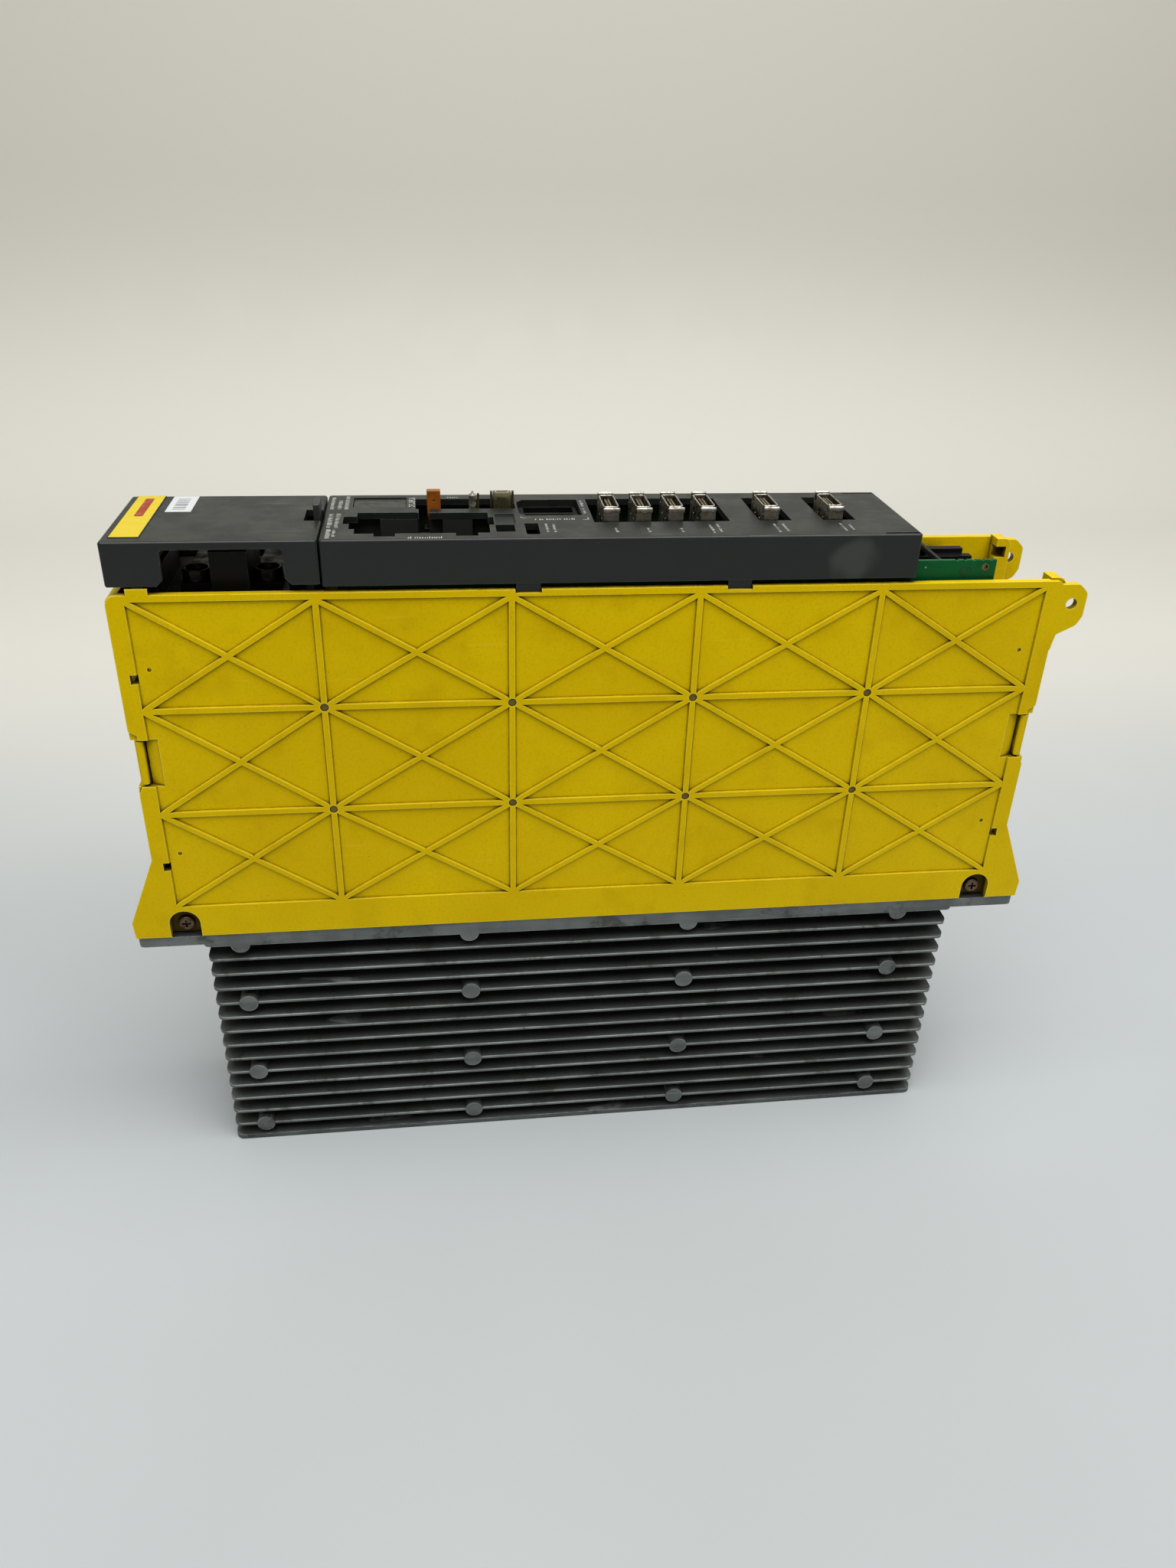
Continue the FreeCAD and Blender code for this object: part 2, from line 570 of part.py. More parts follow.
# ---------------------------------------------------------------- connector board
def connector_board():
    board = block((-99.4, 116.3), (-22.6, 25.2), BOARD_Z)
    holes = [rod("z", place, 1.3, (BOARD_Z[0] - 1, BOARD_Z[1] + 1)) for place in COVER_POSTS]
    return cut(soften(board, 1.0, "z"), *holes)


def connector_board_screws():
    return [pan_head_screw("z", place, BOARD_Z[0] - 1.6, BOARD_Z[0], BOARD_Z[1] + 5.0, 2.0, 1.0)
            for place in COVER_POSTS]


def signal_connector(x):
    """Metal shell and black insert of one upright 20-way signal connector."""
    half = CONNECTOR_WIDTH / 2
    y0, y1 = CONNECTOR_Y
    rim_y = (y0 + HOOK_GAP, y1 - HOOK_GAP)
    base_top = 277.0
    sheet = 0.45
    bore = rounded_block((x - half + sheet, x + half - sheet),
                         (rim_y[0] + sheet, rim_y[1] - sheet),
                         (base_top - 2, CONNECTOR_TOP + 1), 0.8)
    rim = rounded_block((x - half, x + half), rim_y, (base_top, CONNECTOR_TOP), 1.2)
    hooks = []
    for y, inward, top in ((y0, 1, CONNECTOR_TOP - 0.2), (y1, -1, CONNECTOR_TOP + 0.5)):
        plate = tuple(sorted((y, y + inward * 0.9)))
        bridge = tuple(sorted((y + inward * 0.4, y + inward * (HOOK_GAP + 0.4))))
        hooks.append(block((x - half, x + half - 0.1), plate, (base_top, top)))
        hooks.append(block((x - half, x + half - 0.1), bridge,
                           (base_top, CONNECTOR_TOP - 3.0)))
    flange = rounded_block((x - half - 1.3, x + half), (y0 - 0.6, y1 + 0.6),
                           (base_top - 0.9, base_top), 0.6)
    dimples = [rod("x", (y, 283.5), 0.7, (x - half - 1, x + half + 1))
               for y in (rim_y[0] + 4.5, rim_y[1] - 4.5)]
    shell = cut(join(rim, flange, *hooks), bore, *dimples)
    plug = rounded_block((x - half + sheet + 0.05, x + half - sheet - 0.05),
                         (rim_y[0] + sheet + 0.05, rim_y[1] - sheet - 0.05),
                         (base_top - 0.9, CONNECTOR_TOP - 5.5), 0.75)
    tongue = block((x - 0.85, x + 0.85), (rim_y[0] + 1.8, rim_y[1] - 1.8),
                   (CONNECTOR_TOP - 6.0, CONNECTOR_TOP - 1.0))
    base = block((x - half - 0.9, x + half - 0.2), (y0 - 0.2, y1 + 0.2),
                 (BOARD_Z[1], base_top - 0.9))
    return shell, join(plug, tongue, base)


def supply_connector():
    """Housing of the two-row low-voltage supply connector, and its contact pins."""
    top = COVER_TOP - 2.4
    plan = [(-30.0, 2.2), (-27.8, -0.5), (-7.0, -0.5), (-7.0, 20.0), (-27.8, 20.0),
            (-30.0, 16.8)]
    wire = Part.makePolygon([V(px, py, BOARD_Z[1]) for px, py in plan + plan[:1]])
    body = Part.Face(wire).extrude(V(0, 0, top - BOARD_Z[1]))
    rows = [block((-28.0, -8.6), y, (BOARD_Z[1] + 3.0, top + 1)) for y in ((1.2, 9.0), (10.5, 18.3))]
    body = cut(body, *rows)
    pins = []
    for y in (5.1, 14.4):
        for x in (-24.5, -18.3, -12.1):
            pins.append(block((x - 0.5, x + 0.5), (y - 0.5, y + 0.5),
                              (BOARD_Z[1] + 3.0, top - 3.5)))
    return body, pins


def setting_plug():
    body = block((-65.1, -59.9), (11.0, 14.2), (BOARD_Z[1] + 1.2, 290.2))
    body = soften(body, 0.5, "z")
    dimple = rod("y", (-62.4, 286.5), 0.5, (10.0, 11.4))
    socket = block((-66.2, -58.8), (10.2, 15.0), (BOARD_Z[1], 276.0))
    hollow = block((-65.4, -59.6), (10.7, 14.5), (BOARD_Z[1] + 1.2, 277.0))
    return cut(body, dimple), cut(socket, hollow)


def check_pins():
    """Two upright check terminals: a pale square post with a pointed tip and a thin pin."""
    post = block((-49.0, -46.3), (11.0, 13.7), (BOARD_Z[1], 288.4))
    cone = Part.makeCone(0.9, 0.2, 1.4, V(-47.65, 12.35, 288.4))
    thin = soften(block((-45.9, -45.1), (11.0, 11.8), (BOARD_Z[1], 289.2)), 0.2, "z")
    return join(post, cone), thin


def control_fuse():
    """Clear body of the plug-in control fuse between its two blades."""
    blade_x = (FUSE_X[0] - 0.2 - BLADE_THICKNESS, FUSE_X[1] + 0.2)
    body = block(FUSE_X, (11.2, 15.6), (273.0, 289.2))
    body = soften(body, 0.6, "z")
    body = soften(body, 0.5, None, lambda m: m.z > 289.1)
    blades = [block((x, x + BLADE_THICKNESS), (12.4, 14.4), (BOARD_Z[1] + 1.5, 289.4))
              for x in blade_x]
    holder = block((-41.4, -31.2), (10.6, 16.2), (BOARD_Z[1], 272.8))
    slots = [block((x - 0.1, x + BLADE_THICKNESS + 0.1), (12.3, 14.5), (BOARD_Z[1] + 1.5, 273.0))
             for x in blade_x]
    return body, blades, cut(holder, *slots)


def status_display():
    """Two-digit display module and the clear window above it."""
    module = block((-92.0, -74.5), (12.4, 24.4), (BOARD_Z[1], 280.6))
    face = block((-90.6, -75.9), (13.6, 23.2), (280.2, 281.0))
    window = block((-93.1, -73.2), (11.8, 24.8), (281.6, 283.4))
    return cut(module, face), window


def charge_lamp():
    """Lamp that stays lit while the link capacitors hold charge."""
    base = block((-29.0, -24.8), (-21.5, -13.5), (BOARD_Z[1], 272.0))
    dome = rod("z", (-26.9, -17.5), 1.9, (272.0, 276.0))
    ball = Part.makeSphere(1.9, V(-26.9, -17.5, 276.0))
    return base, join(dome, ball)


# ---------------------------------------------------------------- boards inside
def control_board():
    """Long board against the near shell; its plated corner shows at the open end."""
    outline = [(-98.0, 152.0), (152.3, 152.0), (151.8, 272.2), (-98.0, 272.2)]
    board = xz_prism(outline, CONTROL_Y)
    tools = [rod("y", (147.6, 269.3), 0.9, (-26, -22))]
    for k in range(5):
        tools.append(rod("y", (136.0 + 3.4 * k, 272.6), 0.8, (-26, -22)))
    for x, z in CONTROL_HOLES:
        tools.append(rod("y", (x, z), 1.7, (-26, -22)))
    return cut(board, *tools)


def control_chips():
    """Larger parts on the inner face of the control board."""
    face = CONTROL_Y[1]
    places = [(-40.0, 214.0, 13.0, 2.6), (24.0, 214.0, 11.0, 2.4), (72.0, 222.0, 7.5, 2.0),
              (72.0, 196.0, 7.5, 2.0), (110.0, 210.0, 9.0, 2.2)]
    return [block((x - r, x + r), (face, face + h), (z - r, z + r)) for x, z, r, h in places]


def board_link():
    """Right-angle link between the control board and the connector board."""
    y = (CONTROL_Y[1], CONTROL_Y[1] + 6.0)
    return block((52.0, 84.0), y, (258.0, BOARD_Z[0]))


def board_clip():
    """Grey strap that ties the free corner of the control board to the motor block."""
    strap = block((130.2, 131.8), (CONTROL_Y[1], 1.4), STRAP_Z)
    return soften(strap, 0.4, "y", lambda m: m.z > STRAP_Z[0] + 1)


def control_standoffs():
    """Posts that carry the control board off the near shell, with their screws."""
    posts = []
    screws = []
    for x, z in CONTROL_HOLES:
        posts.append(cut(rod("y", (x, z), 3.0, (-27.0, CONTROL_Y[0])),
                         rod("y", (x, z), 1.52, (-26.0, -20.0))))
        screws.append(pan_head_screw("y", (x, z), CONTROL_Y[1] + 1.8, CONTROL_Y[1], -26.0,
                                     2.8, 1.5))
    return posts, screws


def power_modules():
    """Transistor and rectifier modules clamped to the heat sink."""
    modules = []
    for low, high in MODULE_X:
        base = rounded_block((low, high), (-22.0, 22.0), (FLANGE_TOP, FLANGE_TOP + 4.0), 2.0)
        lid = block((low + 12.0, high - 12.0), (-22.0, 22.0), (FLANGE_TOP + 4.0, 136.0))
        rails = [block((low + 14.0, high - 14.0), y, (136.0, 138.0))
                 for y in ((-21.0, -17.0), (17.0, 21.0))]
        holes = [rod("z", (low + 6.0, 0.0), 2.3, (100.0, 140.0)),
                 rod("z", (high - 6.0, 0.0), 2.3, (100.0, 140.0))]
        modules.append(cut(join(base, lid, *rails), *holes))
    return modules


def module_pin_places():
    """(x, y) of every module pin: two rows along each module."""
    places = []
    for low, high in MODULE_X:
        count = int((high - low - 34.0) // 8.0) + 1
        for k in range(count):
            places.extend([(low + 17.5 + 8.0 * k, -19.0), (low + 17.5 + 8.0 * k, 19.0)])
    return places


def module_pins():
    """Solder pins from the modules up through the power board."""
    return [block((x - 0.5, x + 0.5), (y - 0.4, y + 0.4), (138.0, 145.5))
            for x, y in module_pin_places()]


def power_board():
    board = block((-152.0, 130.0), (-25.5, 25.0), POWER_BOARD_Z)
    holes = [rod("z", place, 1.7, (140.0, 146.0)) for place in STANDOFF_PLACES]
    for x, y in module_pin_places():
        holes.append(block((x - 0.6, x + 0.6), (y - 0.5, y + 0.5), (140.0, 146.0)))
    return cut(board, *holes)


def power_standoffs():
    posts = []
    screws = []
    for place in STANDOFF_PLACES:
        post = rod("z", place, 3.2, (FLANGE_TOP, POWER_BOARD_Z[0]))
        stud = rod("z", place, 1.5, (FLANGE_TOP - 3.8, FLANGE_TOP + 1))
        pilot = rod("z", place, 1.52, (130.0, 143.0))
        posts.append(cut(join(post, stud), pilot))
        screws.append(pan_head_screw("z", place, POWER_BOARD_Z[1] + 1.8, POWER_BOARD_Z[1],
                                     132.0, 2.8, 1.5))
    return posts, screws


def link_capacitor(x):
    can = rod("z", (x, 4.0), 17.5, (POWER_BOARD_Z[1], 228.0))
    rim = [e for e in can.Edges if isinstance(e.Curve, Part.Circle)]
    can = can.makeFillet(1.5, rim)
    neck = rod("z", (x, 4.0), 19.0, (150.0, 152.0)).cut(rod("z", (x, 4.0), 16.9, (149.0, 153.0)))
    vents = [block((x - 9.0, x + 9.0), (3.7, 4.3), (227.6, 229.0)),
             block((x - 0.3, x + 0.3), (-5.0, 13.0), (227.6, 229.0))]
    return can.cut(neck).cut(vents)


def relays():
    return [soften(block((x, x + 20.0), (-6.0, 18.0), (POWER_BOARD_Z[1], 172.0)), 0.8)
            for x in (-14.0, 12.0)]


def gate_transformer():
    """Small ferrite transformer: two E halves on a wound bobbin."""
    core = block((50.0, 74.0), (-8.0, 16.0), (149.0, 169.0))
    gaps = [block((54.0, 59.0), (-9.0, 17.0), (153.0, 165.0)),
            block((65.0, 70.0), (-9.0, 17.0), (153.0, 165.0))]
    bobbin = block((49.0, 75.0), (-10.0, 18.0), (POWER_BOARD_Z[1], 148.9))
    winding = block((54.2, 58.8), (-7.6, 15.6), (153.2, 164.8))
    second = block((65.2, 69.8), (-7.6, 15.6), (153.2, 164.8))
    return cut(core, *gaps), bobbin, winding, second


def current_sensors():
    return [soften(block((92.0, 110.0), (y, y + 10.0), (POWER_BOARD_Z[1], 168.0)), 0.6, "z")
            for y in (-12.0, 4.0)]


def heatsink_thermostat():
    """Thermal switch that watches the heat-sink temperature."""
    base = rod("z", (-100.0, 0.0), 7.0, (FLANGE_TOP, FLANGE_TOP + 4.0))
    cap = rod("z", (-100.0, 0.0), 5.0, (FLANGE_TOP + 4.0, FLANGE_TOP + 9.0))
    tabs = [block((-100.4, -99.6), (y - 2.0, y + 2.0), (FLANGE_TOP + 9.0, FLANGE_TOP + 15.0))
            for y in (-3.0, 3.0)]
    return join(base, cap, *tabs)


# ---------------------------------------------------------------- terminals
def dc_terminal_block():
    """Insulating block at the terminal-cover end, with hinge ears and barriers."""
    base = block((-169.0, -112.0), (-22.0, 22.0), (240.0, 262.0))
    shelf = block((-175.2, -108.0), (-22.0, 22.0), (256.0, 260.0))
    barriers = [block((low, high), (-22.0, 10.0), (258.0, top))
                for low, high, top in DC_BARRIERS]
    ears = []
    for sign in (-1, 1):
        y = tuple(sorted((sign * 21.6, sign * 24.5)))
        ears.append(rod("y", (HINGE_X, HINGE_Z), HINGE_BOSS_R - 0.2, y))
        ears.append(block((HINGE_X, -162.0), y, (HINGE_Z - 2.2, HINGE_Z + HINGE_BOSS_R - 0.2)))
        ears.append(block((-165.6, -162.0), y, (256.0, HINGE_Z)))
    body = join(base, shelf, *(barriers + ears))
    bores = [rod("y", (HINGE_X, HINGE_Z), HINGE_PIN_R + 0.02, (-27.0, 27.0))]
    for x in DC_TERMINAL_X:
        bores.append(rod("z", (x, DC_TERMINAL_Y), 3.05, (248.0, 264.0)))
    return cut(body, *bores)


def hexagon(x, y, flat_radius, z0, z1):
    corner = flat_radius / math.cos(math.pi / 6)
    points = [V(x + corner * math.cos(math.pi / 3 * k), y + corner * math.sin(math.pi / 3 * k), z0)
              for k in range(6)]
    return Part.Face(Part.makePolygon(points + points[:1])).extrude(V(0, 0, z1 - z0))


def dc_terminal_screws():
    """Hexagon-head M6 screws with dished tops and washers, one on each link terminal."""
    screws = []
    for x in DC_TERMINAL_X:
        place = (x, DC_TERMINAL_Y)
        washer = rod("z", place, 5.15, (264.0, 265.0))
        head = hexagon(x, DC_TERMINAL_Y, 4.85, 265.0, 268.4)
        dome = rod("z", place, 5.2, (265.0, 268.4))
        top = [e for e in dome.Edges if abs(e.CenterOfMass.z - 268.4) < 0.01]
        head = head.common(dome.makeFillet(0.6, top))
        shank = rod("z", place, 3.0, (250.0, 265.4))
        dish = Part.makeCone(3.2, 4.3, 1.8, V(x, DC_TERMINAL_Y, 266.7))
        screws.append(cut(join(washer, head, shank), dish))
    return screws


def dc_bus_bars():
    """Copper angles from the link terminals down the far side to the power board."""
    bars = []
    for x in DC_TERMINAL_X:
        span = (x - DC_BAR_HALF, x + DC_BAR_HALF)
        lid = block(span, (DC_TERMINAL_Y - 6.0, 24.0), (262.0, 264.0))
        drop = block(span, (22.4, 24.0), (POWER_BOARD_Z[1], 264.0))
        hole = rod("z", (x, DC_TERMINAL_Y), 3.05, (260.0, 266.0))
        bars.append(cut(join(lid, drop), hole))
    return bars


def motor_terminal_block():
    """Stepped black terminal housing for the motor leads at the open end."""
    low = block((112.0, 153.0), (-16.0, 22.0), (236.0, 262.0))
    upper = block((121.5, 148.0), (-1.9, 1.4), (262.0, STRAP_Z[0]))
    lower = block((121.5, 150.8), (-5.4, -1.9), (262.0, STRAP_Z[0] - 2.0))
    body = join(low, upper, lower)
    entries = [soften(block((138.0, 154.0), (y - 3.6, y + 3.6), (241.0, 256.0)), 1.0, "x")
               for y in MOTOR_TERMINAL_Y]
    wells = [rod("z", (130.0, y), 2.6, (256.0, 270.0)) for y in MOTOR_TERMINAL_Y]
    return cut(body, *(entries + wells))


def motor_terminal_screws():
    return [pan_head_screw("z", (130.0, y), 261.0, 259.2, 256.3, 2.4, 1.4)
            for y in MOTOR_TERMINAL_Y]


def motor_leads():
    """Flat copper straps from the motor terminals down to the power board."""
    straps = []
    for y in MOTOR_TERMINAL_Y[:3]:
        straps.append(block((110.4, 111.8), (y - 3.0, y + 3.0), (POWER_BOARD_Z[1], 250.0)))
    return straps


# ---------------------------------------------------------------- cooling fan
def fan_frame():
    half = FAN_SIDE / 2
    frame = block(FAN_X, (-half, half), (FAN_Z - half, FAN_Z + half))
    frame = soften(frame, 3.0, "x")
    bore = rod("x", (0.0, FAN_Z), half - 1.6, (FAN_X[0] - 1, FAN_X[1] + 1))
    hub = rod("x", (0.0, FAN_Z), 9.5, (FAN_X[1] - 3.0, FAN_X[1]))
    arms = []
    for k in range(4):
        arm = block((FAN_X[1] - 3.0, FAN_X[1]), (8.5, half - 1.0), (FAN_Z - 1.2, FAN_Z + 1.2))
        arm.rotate(V(0, 0, FAN_Z), V(1, 0, 0), 45 + 90 * k)
        arms.append(arm)
    holes = []
    for sy in (-1, 1):
        for sz in (-1, 1):
            holes.append(rod("x", (sy * (half - 4.0), FAN_Z + sz * (half - 4.0)), 2.1,
                             (FAN_X[0] - 1, FAN_X[1] + 1)))
    post = rod("x", (0.0, FAN_Z), 1.5, (FAN_X[0] + 4.0, FAN_X[1] - 1.0))
    return join(cut(frame, bore, *holes), hub, post, *arms)


def fan_rotor():
    """Hub and seven pitched blades turning inside the fan frame."""
    x0, x1 = FAN_X[0] + 1.2, FAN_X[1] - 3.8
    hub = rod("x", (0.0, FAN_Z), 10.0, (x0, x1))
    blades = []
    for k in range(7):
        blade = block((x0 + 1.0, x1 - 1.0), (8.5, 22.6), (FAN_Z - 0.6, FAN_Z + 0.6))
        blade.rotate(V((x0 + x1) / 2, 15.0, FAN_Z), V(0, 1, 0), 38)
        blade.rotate(V(0, 0, FAN_Z), V(1, 0, 0), 360.0 / 7 * k)
        blades.append(blade)
    swept = rod("x", (0.0, FAN_Z), 22.8, (x0, x1))
    body = join(hub, *blades).common(swept)
    return cut(body, rod("x", (0.0, FAN_Z), 1.56, (x0 + 2.2, x1 + 1)))


def fan_screws():
    """Screws from the fan frame into the end wall, one in each corner."""
    half = FAN_SIDE / 2
    screws = []
    for sy in (-1, 1):
        for sz in (-1, 1):
            centre = (sy * (half - 4.0), FAN_Z + sz * (half - 4.0))
            screws.append(pan_head_screw("x", centre, FAN_X[1] + 1.8, FAN_X[1], FAN_X[0] + 0.3,
                                         3.0, 1.9))
    return screws


# ---------------------------------------------------------------- fasteners and labels
def case_screws():
    screws = []
    for x in (-CASE_SCREW_X, CASE_SCREW_X):
        for sign in (-1, 1):
            screws.append(pan_head_screw("y", (x, CASE_SCREW_Z), sign * 27.9, sign * 26.0,
                                         sign * 19.6, 3.3, 2.0))
    return screws


def module_screws():
    return [pan_head_screw("z", place, FLANGE_TOP + 6.6, FLANGE_TOP + 4.0, FLANGE_TOP - 5.0,
                           3.6, 2.0) for place in MODULE_SCREWS]


def name_label():
    return block((-175.0, -165.0), (-23.7, 28.0), (COVER_TOP, COVER_TOP + 0.25))


def rating_sticker():
    return block((-161.7, -152.3), (7.0, 27.7), (COVER_TOP, COVER_TOP + 0.12))


# ---------------------------------------------------------------- write every node
def main():
    near = side_shell()
    save("heat_sink", heat_sink())
    save("side_shell_near", near)
    save("side_shell_far", mirror_y(near))
    save("case_screws", *case_screws())
    save("front_cover", front_cover())
    save("terminal_cover", terminal_cover())
    save("cover_latch", latch_lever())
    save("hinge_pin", rod("y", (HINGE_X, HINGE_Z), HINGE_PIN_R, (-27.0, 27.0)))
    save("name_label", name_label())
    save("rating_sticker", rating_sticker())
    save("battery_bay", battery_bay())
    save("connector_board", connector_board())
    for number, x in enumerate(CONNECTOR_X, 1):
        shell, insert = signal_connector(x)
        save("signal_connector_%d_shell" % number, shell)
        save("signal_connector_%d_insert" % number, insert)
    housing, pins = supply_connector()
    save("supply_connector", housing)
    save("supply_pins", *pins)
    plug, socket = setting_plug()
    save("setting_plug", plug)
    save("setting_socket", socket)
    save("check_pins", *check_pins())
    fuse, blades, holder = control_fuse()
    save("control_fuse", fuse)
    save("fuse_blades", *blades)
    save("fuse_holder", holder)
    module, window = status_display()
    save("status_display", module)
    save("status_window", window)
    save("charge_lamp", *charge_lamp())
    save("control_board", control_board())
    save("control_chips", *control_chips())
    save("board_link", board_link())
    save("board_clip", board_clip())
    save("power_modules", *power_modules())
    save("module_screws", *module_screws())
    save("module_pins", *module_pins())
    save("power_board", power_board())
    side_posts, side_screws = control_standoffs()
    low_posts, low_screws = power_standoffs()
    save("board_standoffs", *(side_posts + low_posts))
    save("board_screws", *(connector_board_screws() + side_screws + low_screws))
    for number, x in enumerate(CAPACITOR_X, 1):
        save("link_capacitor_%d" % number, link_capacitor(x))
    save("relays", *relays())
    save("gate_transformer", *gate_transformer())
    save("current_sensors", *current_sensors())
    save("thermal_switch", heatsink_thermostat())
    save("dc_terminal_block", dc_terminal_block())
    save("dc_terminal_screws", *dc_terminal_screws())
    save("dc_bus_bars", *dc_bus_bars())
    save("motor_terminal_block", motor_terminal_block())
    save("motor_terminal_screws", *motor_terminal_screws())
    save("motor_leads", *motor_leads())
    save("fan_frame", fan_frame())
    save("fan_rotor", fan_rotor())
    save("fan_screws", *fan_screws())


main()
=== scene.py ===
import math
import random

import bmesh
import bpy
from mathutils import Matrix, Vector


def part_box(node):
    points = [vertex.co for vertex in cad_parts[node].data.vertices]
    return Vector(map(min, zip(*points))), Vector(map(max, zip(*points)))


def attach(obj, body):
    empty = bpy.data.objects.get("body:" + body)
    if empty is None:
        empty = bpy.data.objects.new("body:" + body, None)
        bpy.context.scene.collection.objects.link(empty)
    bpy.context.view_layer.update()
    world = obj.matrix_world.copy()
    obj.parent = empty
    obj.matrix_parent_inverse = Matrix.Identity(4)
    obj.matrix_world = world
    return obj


# Looks of the narrow servo drive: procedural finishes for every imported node, the small
# pieces that the solids leave out, the camera, the lights and a plain floor.
# Lengths inside this file are millimetres in the part's own frame unless a name says
# metres: +X runs to the open cable end, -Y is the near side, +Z is up from the fin tips.

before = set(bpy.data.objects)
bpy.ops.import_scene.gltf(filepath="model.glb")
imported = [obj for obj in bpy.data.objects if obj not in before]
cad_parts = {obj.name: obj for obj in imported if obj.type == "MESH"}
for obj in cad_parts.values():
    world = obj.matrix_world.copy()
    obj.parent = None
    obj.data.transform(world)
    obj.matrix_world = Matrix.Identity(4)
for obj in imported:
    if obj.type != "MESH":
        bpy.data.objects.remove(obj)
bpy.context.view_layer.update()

MM = 0.001
SEED = 11

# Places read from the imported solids, in millimetres.
COVER_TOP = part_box("front_cover")[1].z / MM
LABEL_LOW, LABEL_HIGH = [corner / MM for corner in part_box("name_label")]
STICKER_LOW, STICKER_HIGH = [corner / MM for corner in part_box("rating_sticker")]
FUSE_LOW, FUSE_HIGH = [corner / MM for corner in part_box("control_fuse")]
DISPLAY_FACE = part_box("status_display")[1].z / MM
BOARD_LOW, BOARD_HIGH = [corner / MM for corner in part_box("control_board")]
SHELL_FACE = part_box("side_shell_far")[1].y / MM

# Places inside a solid, which its box can't give, in millimetres.
PLATED_HOLE = (147.6, 269.3)
STAMP_PLACE = (139.7, 267.6)
DIMPLE_X = (-106.0, -35.3, 35.3, 106.0)
DIMPLE_Z = (175.3, 219.7)
DIMPLE_DEPTH = 0.8
CONNECTOR_RIM = 289.0
HOOK_GAP = 1.9             # from a latch hook's outer face to a connector's rim
DIGIT_X = (-88.6, -82.4)   # left side of each digit on the display
INK_FOOT = 0.05            # how far a print reaches into the cover
INK = 0.03                 # how far it stands above the cover

# Where a finish changes within one node, in metres.
# The sunk floors inside these bounds are painted dark as shade.
RECESS_X = 0.1768          # the sunk floors round the case screws lie inside these
RECESS_Y = 0.0268
RECESS_TOP = 0.1296
SLEEVE_TOP = 0.2268
# Below this height the setting plug is painted dark as shade and soiling.
PLUG_GRIME_AND_SHADE_TOP = 0.2835
THIN_PIN_X = -0.0462

# The camera, in metres, with its lens in millimetres.
CAMERA_PLACE = (-0.06152, -0.43688, 0.41223)
CAMERA_FORWARD = (0.12002, 0.86462, -0.48788)
CAMERA_UP = (0.03567, 0.48736, 0.87247)
CAMERA_LENS = 26.87
CAMERA_SENSOR = 36.0


def screen(red, green, blue):
    """A colour given as it looks on screen, 0 to 255, turned into the linear one."""
    def linear(value):
        value /= 255.0
        return value / 12.92 if value <= 0.04045 else ((value + 0.055) / 1.055) ** 2.4
    return (linear(red), linear(green), linear(blue), 1.0)


def dimmed(colour, share):
    """The colour with its light cut to a share."""
    return tuple(channel * share for channel in colour[:3]) + (1.0,)


